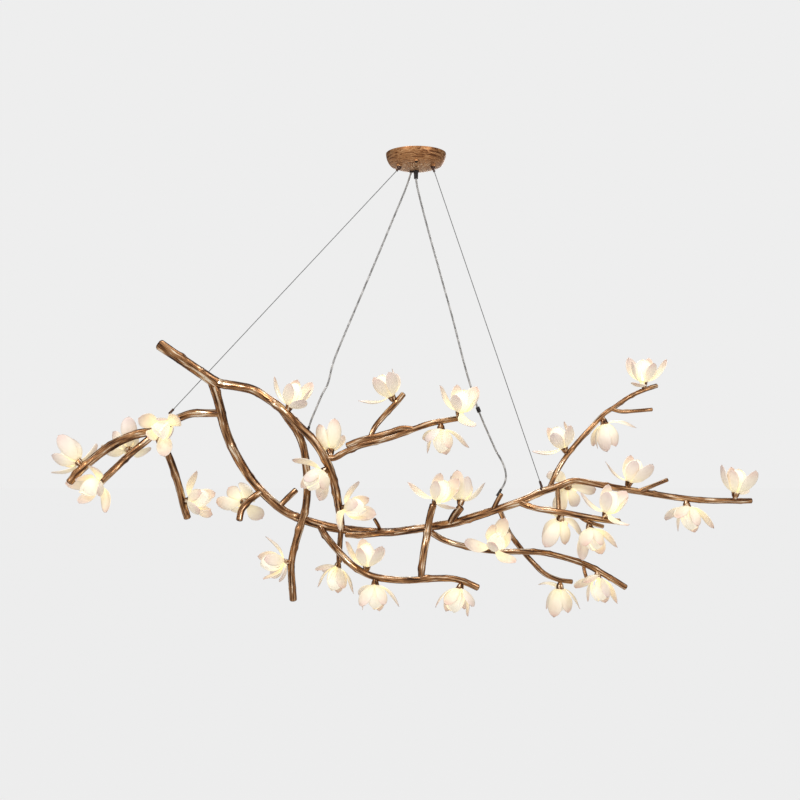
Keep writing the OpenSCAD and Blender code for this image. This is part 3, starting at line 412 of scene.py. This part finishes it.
def porcelain_material(inner):
    """Lit porcelain, warm at the foot: its emission paints the glow of the lamp inside, strongest
    at the foot, and the inner tepals carry painted shade at their side edges; the outer tepals turn
    pink or cool towards the tips.
    """
    m, t, s, _ = material("inner_porcelain" if inner else "outer_porcelain")
    petal_place = attribute(t, "petal")
    split = add(t, "SeparateXYZ")
    link(t, petal_place, split.inputs[0])
    up, across, tint = split.outputs
    veins = noisy(t, scaled(t, petal_place, (1.4, 15, 30)), 1.0, 3, 0.5)
    if inner:
        colour = ramp(t, up, (0.05, (0.92, 0.82, 0.52)), (0.30, (0.93, 0.88, 0.70)),
                      (0.60, (0.92, 0.90, 0.80)), (0.97, (0.90, 0.82, 0.66)))
        # painted shade: the inner tepals darken towards their side edges, where they overlap
        colour = mixed(t, ramp(t, across, (0.86, 0), (1.0, 0.5)), colour, (0.86, 0.76, 0.62))
        # painted glow: emission stands in for the lamp's light shining through the tepals
        glow = ramp(t, up, (0.0, (1.0, 0.82, 0.48)), (0.3, (1.0, 0.92, 0.70)),
                    (0.62, (0.95, 0.90, 0.74)), (1.0, (0.55, 0.47, 0.36)))
    else:
        cloud = noisy(t, objects_place(t), 34, 3, 0.5)
        warm = ramp(t, up, (0.08, (0.93, 0.85, 0.60)), (0.45, (0.92, 0.83, 0.65)),
                    (0.76, (0.89, 0.75, 0.59)), (0.98, (0.82, 0.55, 0.44)))
        cool = ramp(t, up, (0.08, (0.93, 0.85, 0.64)), (0.5, (0.84, 0.75, 0.68)),
                    (0.95, (0.74, 0.60, 0.56)))
        colour = mixed(t, tint, warm, cool)
        colour = mixed(t, ramp(t, cloud, (0.42, 0), (0.7, 0.35)), colour, (0.95, 0.88, 0.76))
        colour = mixed(t, ramp(t, across, (0.84, 0), (1.0, 0.45)), colour, (0.96, 0.90, 0.80))
        glow = ramp(t, up, (0.0, (1.0, 0.84, 0.50)), (0.45, (0.46, 0.36, 0.20)),
                    (0.9, (0.10, 0.06, 0.035)))
    colour = mixed(t, ramp(t, veins, (0.35, 0.10), (0.6, 0)), colour, (0.80, 0.64, 0.50))
    link(t, colour, s.inputs["Base Color"])
    link(t, glow, s.inputs["Emission Color"])
    settle(s, Emission_Strength=0.38 if inner else 0.36, Roughness=0.42, Coat_Weight=0.10,
           Coat_Roughness=0.25)
    bumped(t, s, veins, 0.16, 0.0010)
    return m


def brushed_material():
    """Golden brown bronze for the canopy: strokes round the dish and pale rays at its middle."""
    m, t, s, _ = material("brushed_bronze")
    place = objects_place(t)
    flat = add(t, "SeparateXYZ")
    link(t, place, flat.inputs[0])
    x, y = flat.outputs[0], flat.outputs[1]
    angle = maths(t, "ARCTAN2", y, x)
    far = maths(t, "POWER", plus(t, times(t, x, x), times(t, y, y)), 0.5)

    def polar(per_radian, per_metre):
        n = add(t, "CombineXYZ")
        link(t, times(t, angle, per_radian), n.inputs[0])
        link(t, times(t, far, per_metre), n.inputs[1])
        return n.outputs[0]

    wobble = add(t, "TexNoise", Scale=34, Detail=2.0)
    link(t, place, wobble.inputs["Vector"])
    push = add(t, "VectorMath", operation="SCALE", Scale=0.012)
    link(t, wobble.outputs[1], push.inputs[0])
    bent = add(t, "VectorMath", operation="ADD")
    link(t, polar(0.014, 4.2), bent.inputs[0])
    link(t, push.outputs[0], bent.inputs[1])
    curls = noisy(t, bent.outputs[0], 130, 3, 0.6, 0.5)
    fold = maths(t, "ABSOLUTE", times(t, maths(t, "SUBTRACT", curls, 0.5), 8.0))
    colour = ramp(t, fold, (0.0, (0.68, 0.40, 0.20)), (0.20, (0.49, 0.225, 0.088)),
                  (0.75, (0.31, 0.128, 0.046)), (1.0, (0.15, 0.054, 0.020)))
    rays = ramp(t, noisy(t, polar(0.10, 0.6), 130, 2, 0.5, 0.3), (0.51, 0), (0.60, 0.8))
    middle = ramp(t, far, (0.035, 1), (0.060, 0))
    colour = mixed(t, times(t, middle, rays), colour, (0.90, 0.66, 0.42))
    link(t, colour, s.inputs["Base Color"])
    settle(s, Metallic=0.80, Roughness=0.42)
    bumped(t, s, fold, 0.25, 0.0006)
    return m


def plain_metal(name, dark, light, scale, rough):
    m, t, s, _ = material(name)
    tone = noisy(t, scaled(t, objects_place(t), (1, 1, 0.25)), scale, 4, 0.6)
    link(t, ramp(t, tone, (0.3, dark), (0.7, light)), s.inputs["Base Color"])
    link(t, ramp(t, tone, (0.3, rough), (0.7, rough * 0.7)), s.inputs["Roughness"])
    settle(s, Metallic=0.9)
    bumped(t, s, tone, 0.15, 0.0003)
    return m


def plain_plastic(name, dark, light, scale, rough):
    m, t, s, _ = material(name)
    tone = noisy(t, objects_place(t), scale, 4, 0.6)
    link(t, ramp(t, tone, (0.3, dark), (0.7, light)), s.inputs["Base Color"])
    settle(s, Roughness=rough)
    bumped(t, s, tone, 0.2, 0.0003)
    return m


def sleeve_material():
    """Clear, slightly cloudy sleeve over the cores."""
    m, t, s, out = material("cable_sleeve")
    cloudy = add(t, "TexNoise", noise_dimensions="1D", Scale=46.0, Detail=3.0)
    link(t, attribute(t, "run", "Fac"), cloudy.inputs["W"])
    cloud = cloudy.outputs[0]
    link(t, ramp(t, cloud, (0.35, (0.30, 0.29, 0.28)), (0.65, (0.60, 0.58, 0.56))),
         s.inputs["Base Color"])
    settle(s, Roughness=0.25, Coat_Weight=0.5)
    mix_shaders(t, ramp(t, cloud, (0.35, 0.42), (0.68, 0.80)),
                add(t, "BsdfTransparent").outputs[0], s.outputs[0], out)
    return m


def strand_material():
    """Six steel strands, laid round one another."""
    m, t, s, _ = material("steel_strands")
    along = times(t, attribute(t, "run", "Fac"), 2 * math.pi / 0.012)
    lay = plus(t, along, times(t, attribute(t, "turn", "Fac"), 6.0))
    half = plus(t, times(t, maths(t, "SINE", lay), 0.5), 0.5)
    link(t, ramp(t, half, (0.0, 0.12), (1.0, 0.24)), s.inputs["Base Color"])
    settle(s, Metallic=0.3, Roughness=0.6)
    bumped(t, s, half, 0.3, 0.0002)
    return m


def glow_material():
    """The lit pin lamps."""
    m, t, s, _ = material("lamp_glow")
    tone = noisy(t, objects_place(t), 120, 2)
    link(t, ramp(t, tone, (0.3, (0.9, 0.8, 0.62)), (0.7, (1.0, 0.92, 0.76))),
         s.inputs["Base Color"])
    settle(s, Emission_Color=(1.0, 0.86, 0.62, 1), Emission_Strength=1.6, Roughness=0.35)
    return m


BRONZE, CUT = bronze_material(), cut_material()
OUTER, INNER = porcelain_material(False), porcelain_material(True)
BRUSHED, SLEEVE = brushed_material(), sleeve_material()
STRANDS, GLOW = strand_material(), glow_material()
ZINC = plain_metal("zinc_steel", (0.42, 0.42, 0.42), (0.66, 0.66, 0.64), 160, 0.42)
NICKEL = plain_metal("dark_nickel", (0.055, 0.030, 0.024), (0.16, 0.095, 0.075), 300, 0.40)
SCREW = plain_metal("dark_screw", (0.02, 0.014, 0.012), (0.06, 0.045, 0.04), 400, 0.5)
RUBBER = plain_plastic("black_rubber", (0.006, 0.004, 0.004), (0.022, 0.014, 0.014), 500, 0.62)
WHITE = plain_plastic("white_plastic", (0.72, 0.72, 0.70), (0.84, 0.84, 0.82), 200, 0.4)
CERAMIC = plain_plastic("holder_ceramic", (0.78, 0.76, 0.71), (0.88, 0.86, 0.81), 300, 0.6)
CORE_GREY = plain_plastic("core_grey", (0.20, 0.20, 0.20), (0.42, 0.41, 0.40), 300, 0.4)
CORE_DARK = plain_plastic("core_dark", (0.035, 0.025, 0.022), (0.10, 0.075, 0.065), 300, 0.4)


# ---------------------------------------------------------------- meshes
def mesh_object(name, points, faces, body, materials, slots=None, smooth_faces=True, floats=(),
                vectors=()):
    """An object from points in millimetres, with values at the points for its materials."""
    data = bpy.data.meshes.new(name)
    data.from_pydata([tuple(np.array(p, float) * MM) for p in points], [], faces)
    data.update()
    for m in materials:
        data.materials.append(m)
    if slots is not None:
        data.polygons.foreach_set("material_index", slots)
    data.polygons.foreach_set("use_smooth", [smooth_faces] * len(data.polygons))
    for key, values in floats:
        layer = data.attributes.new(key, "FLOAT", "POINT")
        layer.data.foreach_set("value", np.array(values, np.float32))
    for key, values in vectors:
        data.attributes.new(key, "FLOAT_VECTOR", "POINT").data.foreach_set(
            "vector", np.array(values, np.float32).ravel())
    o = bpy.data.objects.new(name, data)
    bpy.context.collection.objects.link(o)
    if body:
        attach(o, body)
    return o


def tube(points, radii, sides, shape=None):
    """A closed tube: points, faces, and each point's run and turn; shape scales the radius."""
    t = tangents(points)
    verts, faces, runs, turns = [], [], [], []
    run = 0.0
    for i, p in enumerate(points):
        if i:
            run += np.linalg.norm(p - points[i - 1])
        side, up = around(t[i])
        for k in range(sides):
            turn = 2 * math.pi * k / sides
            r = radii[i] * (shape(turn, run) if shape else 1)
            verts.append(p + r * (math.cos(turn) * side + math.sin(turn) * up))
            runs.append(run)
            turns.append(turn)
    n = len(points)
    for i in range(n - 1):
        for k in range(sides):
            a, b = i * sides + k, i * sides + (k + 1) % sides
            faces.append((a, b, b + sides, a + sides))
    faces.append(tuple(range(sides - 1, -1, -1)))
    faces.append(tuple((n - 1) * sides + k for k in range(sides)))
    return verts, faces, runs, turns


# ---------------------------------------------------------------- wires and cables, first of all
CABLE_R, WIRE_R = 2.5, 1.0
CORE_R, CORE_OFF, CORE_LAY = 0.95, 1.05, 34  # radius, distance from the middle, length of one twist
NOZZLE_REACH = 4.5 + 5 + 0.3  # from a gripper ball's middle to where its wire comes out
HEAD_REACH = 14 - 9  # from an anchor's middle to the wire's end


def twisted(points, start):
    """A core's route, twisted round the middle of its cable."""
    t = tangents(points)
    run, route = 0.0, []
    for i, p in enumerate(points):
        if i:
            run += np.linalg.norm(p - points[i - 1])
        side, up = around(t[i])
        a = 2 * math.pi * run / CORE_LAY + start
        route.append(p + CORE_OFF * (math.cos(a) * side + math.sin(a) * up))
    return route


def power_cable(name, node, top, points):
    route = [np.array(top, float)] + [sighted(p) for p in points]
    fine = smooth(route, 5.0)
    dense = smooth(route, 3.0)

    def across(o):
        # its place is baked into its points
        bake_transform(o)

    v, f, runs, _ = tube(fine, [CABLE_R] * len(fine), 12)
    o = mesh_object(name, v, f, None, [SLEEVE], floats=[("run", np.array(runs) * MM)])
    across(o)
    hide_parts(node)
    for j, m in enumerate((CORE_GREY, CORE_DARK)):
        path = twisted(dense, j * math.pi)
        v, f, _, _ = tube(path, [CORE_R] * len(path), 6)
        c = mesh_object(f"{name}_core_{j + 1}", v, f, None, [m])
        across(c)


def steel_wire(name, node, ball, head):
    ball, head = np.array(ball), np.array(head)
    out = unit(head - ball)
    start = ball + NOZZLE_REACH * out
    end = head - HEAD_REACH * out
    n = 120
    route = [start + (end - start) * i / n for i in range(n + 1)]
    v, f, runs, turns = tube(route, [WIRE_R] * len(route), 12)
    o = mesh_object(name, v, f, HANGING, [STRANDS],
                    floats=[("run", np.array(runs) * MM), ("turn", turns)])
    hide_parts(node)


power_cable("cable_left", "power_cable_left", (-12, 6, -45), CABLE_LEFT)
power_cable("cable_right", "power_cable_right", (0, 0, -60), CABLE_RIGHT)
steel_wire("wire_left", "steel_wire_left", (-42, -22, -40.74), (-610.63, -22, -648.37))
steel_wire("wire_right", "steel_wire_right", (42, -22, -40.74), (310.90, -22, -829.78))


# ---------------------------------------------------------------- branches
def branch_mesh(points, index):
    """Bark-ridged tube with knots: points, faces, material slots, relief and bark places."""
    rng = random.Random(900 + index)
    fine = smooth(points, 3.0)
    centres = [sighted(p) for p in fine]
    radii = [p[3] for p in fine]
    # the free end runs on a little and is rounded off
    out = unit(centres[-1] - centres[-2])
    last, r_end = centres[-1], radii[-1]
    for lift, share in ((0.18, 1.02), (0.36, 0.97), (0.52, 0.86)):
        centres.append(last + out * r_end * lift)
        radii.append(r_end * share)
    total = sum(np.linalg.norm(b - a) for a, b in zip(centres, centres[1:]))
    base_r = radii[0]
    seed = Vector((rng.uniform(-50, 50), rng.uniform(-50, 50), rng.uniform(-50, 50)))
    knots = []  # place along the branch, turn, height and width of each
    at = rng.uniform(25, 60)
    while at < total - 14:
        knots.append((at, rng.uniform(0, 2 * math.pi), rng.uniform(0.10, 0.30), rng.uniform(5, 10)))
        at += rng.uniform(32, 92) * (1.3 if total > 700 else 1)
    relief = []

    def shape(turn, run):
        c, n = math.cos(turn), math.sin(turn)
        wide = noise.noise(Vector((c * 1.1, n * 1.1, run * 0.020)) + seed)
        ridge = 1 - 2 * abs(noise.noise(Vector((c * 2.4 + 7, n * 2.4, run * 0.012)) + seed))
        fine_ridge = 1 - 2 * abs(noise.noise(Vector((c * 4.5, n * 4.5 + 3, run * 0.014)) + seed))
        lumps = noise.noise(Vector((c * 2, n * 2, run * 0.09)) - seed)
        d = 0.085 * wide + 0.055 * (ridge - 0.5) + 0.022 * (fine_ridge - 0.5) + 0.014 * lumps
        for s0, turn0, size, width in knots:
            x = (run - s0) / width
            if abs(x) < 3:
                a = math.cos(turn - turn0)
                d += size * math.exp(-x * x) * max(0, a) ** 3 + 0.05 * math.exp(-4 * x * x)
                d -= 0.35 * size * math.exp(-9 * x * x) * max(0, a) ** 14
        d += 0.20 * math.exp(-run / (1.3 * base_r))
        height = 0.07 * (ridge - 0.5) + 0.05 * (fine_ridge - 0.5) + 0.02 * lumps
        relief.append(max(-1, min(1, 6 * height)))
        return 1 + d

    sides = 26 if max(radii) > 8.6 else 22
    v, f, runs, turns = tube(centres, radii, sides, shape)
    # the darker end face
    f.pop()
    n = len(v) - sides
    ring = np.array(v[n:])
    middle = ring.mean(0)
    slots = [0] * len(f)
    for scale, lift in ((0.82, 0.10 * r_end), (0.62, 0.18 * r_end), (0.35, 0.20 * r_end)):
        start = len(v)
        for k in range(sides):
            v.append(middle + (ring[k] - middle) * scale + out * lift)
            relief.append(-0.5)
            runs.append(runs[n + k])
            turns.append(turns[n + k])
        for k in range(sides):
            after = (k + 1) % sides
            f.append((start - sides + k, start - sides + after, start + after, start + k))
            slots.append(1 if scale < 0.8 else 0)
    f.append(tuple(len(v) - sides + k for k in range(sides)))
    slots.append(1)
    bark = [(math.cos(t), math.sin(t), s * 0.08 + index) for s, t in zip(runs, turns)]
    return v, f, slots, relief, bark


for index, (name, node, points) in enumerate(BRANCHES):
    v, f, slots, relief, bark = branch_mesh(points, index)
    o = mesh_object(name + "_bark", v, f, HANGING, [BRONZE, CUT], slots,
                    floats=[("relief", relief)], vectors=[("bark", bark)])
    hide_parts(node)


# ---------------------------------------------------------------- flowers
# length, width, where it is widest, radius of the ball that it is bent over, and thickness
OUTER_TEPAL = (74, 39, 0.58, 57, 2.2)
STANDING_TEPAL = (62, 33, 0.58, 47, 2.0)
INNER_TEPAL = (57, 41, 0.52, 36.5, 1.8)
ROWS, COLS = 15, 11


def petal(size, rng, inner=False):
    """One tepal on end: a closed sheet with a soft rim. Points, faces, (up, across, tint)."""
    length, width, widest, ball, thick = size
    length *= rng.uniform(0.98 if inner else 0.96, 1.02)
    width *= 1 if inner else rng.uniform(0.94, 1.05)
    sink = math.sqrt(ball * ball - length * length / 4)
    power = math.log(0.5) / math.log(widest)
    wave, phase = rng.uniform(0.5, 1.3), rng.uniform(0, 6.28)
    curl = rng.uniform(-1.5, 0.5) if inner else rng.uniform(1.5, 5.0)
    twist = rng.uniform(-0.10, 0.10)
    tint = 0 if inner else rng.uniform(0, 1) ** 1.6
    front, outline = [], []
    for i in range(ROWS):
        u = (i / (ROWS - 1)) ** 0.92
        bulge = max(0.0, math.sin(math.pi * min(1, u) ** power))
        half = width / 2 * bulge ** (0.50 if inner else 0.53)
        half = max(half, (7.5 if inner else 4.5) * (1 - u) ** 1.5, 0.05)
        for j in range(COLS):
            v = -1 + 2 * j / (COLS - 1)
            y = v * half
            z = length * u
            x = math.sqrt(max(0.0, ball * ball - (z - length / 2) ** 2 - y * y)) - sink
            if inner:
                x += 0.8 * v * (1 if twist > 0 else -1)
                x += curl * max(0, (u - 0.8) / 0.2) ** 2
                y += twist * z * 0.5
            else:
                x -= 0.35 * (y * y) / 30 * 0.5
                beat = math.sin(5.5 * u + phase + (2.2 if v > 0 else 0))
                x += wave * abs(v) ** 3 * beat * min(1, 2 * u)
                x += curl * max(0, (u - 0.72) / 0.28) ** 2
                x -= 0.7 * math.exp(-(v / 0.16) ** 2) * math.sin(math.pi * min(1, u * 1.1))
                y += twist * z
            front.append(np.array([x, y, z]))
            outline.append((u, abs(v), tint))
    grid = np.array(front).reshape(ROWS, COLS, 3)
    normal = np.cross(np.gradient(grid, axis=1), np.gradient(grid, axis=0))
    normal /= np.maximum(np.linalg.norm(normal, axis=2, keepdims=True), 1e-9)
    if normal[ROWS // 2, COLS // 2, 0] < 0:
        normal = -normal
    beside = np.abs(np.linspace(-1, 1, COLS))[None, :, None]
    above = np.linspace(0, 1, ROWS)[:, None, None]
    back = grid - normal * (thick * (1 - 0.55 * beside ** 5) * (1 - 0.5 * above ** 8))
    verts = np.concatenate((grid.reshape(-1, 3), back.reshape(-1, 3)))
    n = ROWS * COLS
    faces = []
    for i in range(ROWS - 1):
        for j in range(COLS - 1):
            a = i * COLS + j
            faces.append((a, a + 1, a + COLS + 1, a + COLS))
            faces.append((n + a, n + a + COLS, n + a + COLS + 1, n + a + 1))
    rim = list(range(COLS)) + [i * COLS + COLS - 1 for i in range(1, ROWS)]
    rim += [n - COLS + j for j in range(COLS - 2, -1, -1)]
    rim += [i * COLS for i in range(ROWS - 2, 0, -1)]
    for a, b in zip(rim, rim[1:] + rim[:1]):
        faces.append((b, a, n + a, n + b))
    return verts, faces, outline + outline


def turned(points, axis, degrees):
    m = np.array(Matrix.Rotation(math.radians(degrees), 3, axis))
    return points @ m.T


for index, flower in enumerate(FLOWERS):
    rng = random.Random(300 + index)
    axes, origin, _ = flower_frame(flower)
    verts, faces, slots, paint = [], [], [], []

    def put(points, quads, values, slot):
        start = len(verts)
        for p in points:
            verts.append(origin + p @ axes)
        faces.extend(tuple(start + a for a in q) for q in quads)
        slots.extend([slot] * len(quads))
        paint.extend(values)

    for k, lean in enumerate(flower[5]):
        p, q, values = petal(OUTER_TEPAL, rng)
        p = turned(p, "Z", rng.uniform(-6, 6))
        p = turned(p, "Y", lean + rng.uniform(-3, 3)) + np.array([8.5, 0, 2.5])
        put(turned(p, "Z", 120 * k + rng.uniform(-3, 3)), q, values, 0)
        # a narrower one between them that stands up against the cup
        p, q, values = petal(STANDING_TEPAL, rng)
        p = turned(p, "Y", rng.uniform(12, 26)) + np.array([9.5, 0, 3])
        put(turned(p, "Z", 120 * k + 60 + rng.uniform(-8, 8)), q, values, 0)
        p, q, values = petal(INNER_TEPAL, rng, inner=True)
        p = turned(p, "Z", 7)
        p = turned(p, "Y", -6 + rng.uniform(-1.5, 1.5)) + np.array([9, 0, 4])
        put(turned(p, "Z", 120 * k + 60), q, values, 1)
    # the ring that the tepals stand on
    profile = [(6.8, 0.0), (8.9, 0.0), (9.7, 1.4), (10.0, 3.2), (9.5, 6.2), (8.1, 8.1), (6.8, 8.1)]
    ring, quads, n = [], [], 36
    for rad, h in profile:
        for k in range(n):
            a = 2 * math.pi * k / n
            ring.append(np.array([rad * math.cos(a), rad * math.sin(a), h]))
    for i in range(len(profile) - 1):
        for k in range(n):
            a, b = i * n + k, i * n + (k + 1) % n
            quads.append((a, b, b + n, a + n))
    put(np.array(ring), quads, [(0.05, 0.2, 0)] * len(ring), 1)
    o = mesh_object(f"magnolia_{index + 1:02d}", verts, faces, HANGING, [OUTER, INNER], slots,
                    vectors=[("petal", paint)])
    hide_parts(flower[0])

# the bronze stem and scalloped cup under each flower
verts, faces, relief, bark = [], [], [], []
for index, flower in enumerate(FLOWERS):
    axes, origin, r = flower_frame(flower)
    root = min(5.5, 0.8 * r)
    # radius and height; points 1 to 7 are uneven, 8 to 10 rise in three lobes
    profile = [(root * 1.25, -19), (root * 1.02, -15.5), (5.3, -13), (5.4, -11.5), (6.6, -9.8),
               (7.6, -8), (8.4, -6), (9.0, -3), (9.8, 0.5), (10.4, 2.4), (10.1, 2.6), (9.9, 0.2),
               (8.8, -0.3), (6.75, -0.3), (6.75, -5.9), (0.6, -5.9)]
    n, start = 30, len(verts)
    seed = Vector((index * 3.7, 1.3, 0))
    for i, (rad, h) in enumerate(profile):
        for k in range(n):
            a = 2 * math.pi * k / n
            lobe = max(0.0, math.cos(3 * (a + math.pi / 3))) ** 2
            d = noise.noise(Vector((math.cos(a) * 2, math.sin(a) * 2, h * 0.12)) + seed)
            rr = rad * (1 + (0.07 * d if 0 < i < 8 else 0))
            hh = h + (3.4 * lobe if i in (9, 10) else 1.2 * lobe if i == 8 else 0)
            verts.append(origin + np.array([rr * math.cos(a), rr * math.sin(a), hh]) @ axes)
            relief.append(max(-1, min(1, 2 * d)))
            bark.append((math.cos(a), math.sin(a), h * 0.08 + index))
    for i in range(len(profile) - 1):
        for k in range(n):
            a, b = start + i * n + k, start + i * n + (k + 1) % n
            faces.append((a, b, b + n, a + n))
    faces.append(tuple(start + k for k in range(n - 1, -1, -1)))
    faces.append(tuple(start + (len(profile) - 1) * n + k for k in range(n)))
cups = mesh_object("calyx_cups_cast", verts, faces, HANGING, [BRONZE], floats=[("relief", relief)],
                   vectors=[("bark", bark)])
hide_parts("calyx_cups")


# ---------------------------------------------------------------- CAD pieces that stay
def dress(names, m):
    for name in names:
        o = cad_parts[name]
        o.data.materials.clear()
        o.data.materials.append(m)


dress(["canopy"], BRUSHED)
dress(["ceiling_bracket"], ZINC)
dress(["canopy_screws"], SCREW)
dress(["led_driver", "terminal_block"], WHITE)
dress(["cord_gland", "cord_grommet", "cable_bead", "cable_bushes"], RUBBER)
dress(["wire_gripper_left", "wire_gripper_right", "gripper_plunger_left", "gripper_plunger_right",
       "wire_anchors"], NICKEL)
dress(["lamp_holders"], CERAMIC)
dress(["led_lamps"], GLOW)


# ---------------------------------------------------------------- floor, world and lamps
BACKDROP = (0.855, 0.855, 0.855, 1)


def stage_floor():
    m, t, s, out = material("floor")
    settle(s, Base_Color=(0.82, 0.82, 0.82, 1), Roughness=0.9)
    flat = add(t, "Emission")
    flat.inputs[0].default_value = BACKDROP
    seen = times(t, add(t, "LightPath").outputs["Is Camera Ray"], 0.975)
    mix_shaders(t, seen, s.outputs[0], flat.outputs[0], out)
    half, low = 30000, -2400
    corners = [(x * half, y * half, low) for x, y in ((-1, -1), (1, -1), (1, 1), (-1, 1))]
    o = mesh_object("floor", corners, [(0, 1, 2, 3)], None, [m], smooth_faces=False)


stage_floor()
world = bpy.data.worlds.new("world")
bpy.context.scene.world = world
world.use_nodes = True
t = world.node_tree
t.nodes.clear()
light, shown = add(t, "Background"), add(t, "Background")
light.inputs[0].default_value = (1, 1, 1, 1)
shown.inputs[0].default_value = BACKDROP
# brighter towards the front and above
way = add(t, "SeparateXYZ")
link(t, add(t, "TexCoord").outputs["Generated"], way.inputs[0])
front = plus(t, times(t, way.outputs[1], -0.8), times(t, way.outputs[2], 0.6))
level = ramp(t, plus(t, times(t, front, 0.5), 0.5), (0.0, 0.08), (0.45, 0.22), (0.75, 0.62),
             (1.0, 1.02))
link(t, times(t, level, 1.04), light.inputs[1])
mix_shaders(t, add(t, "LightPath").outputs["Is Camera Ray"], light.outputs[0], shown.outputs[0],
            add(t, "OutputWorld"))


def lamp(name, place, aim, size, power):
    data = bpy.data.lights.new(name, "AREA")
    data.shape = "RECTANGLE"
    data.size, data.size_y = size
    data.energy = power
    o = bpy.data.objects.new(name, data)
    bpy.context.collection.objects.link(o)
    o.location = place
    o.rotation_euler = (Vector(aim) - Vector(place)).to_track_quat("-Z", "Y").to_euler()


lamp("key", (-1.6, -2.4, 0.9), (0, 0, -0.75), (0.9, 0.5), 23)
lamp("fill", (2.0, -2.2, 0.1), (0, 0, -0.75), (0.5, 1.2), 12)
lamp("above", (0.1, -0.3, 1.3), (0, 0, -0.7), (1.6, 0.5), 12)
lamp("back", (0.4, 2.2, 0.2), (0, 0, -0.7), (1.4, 0.6), 9)
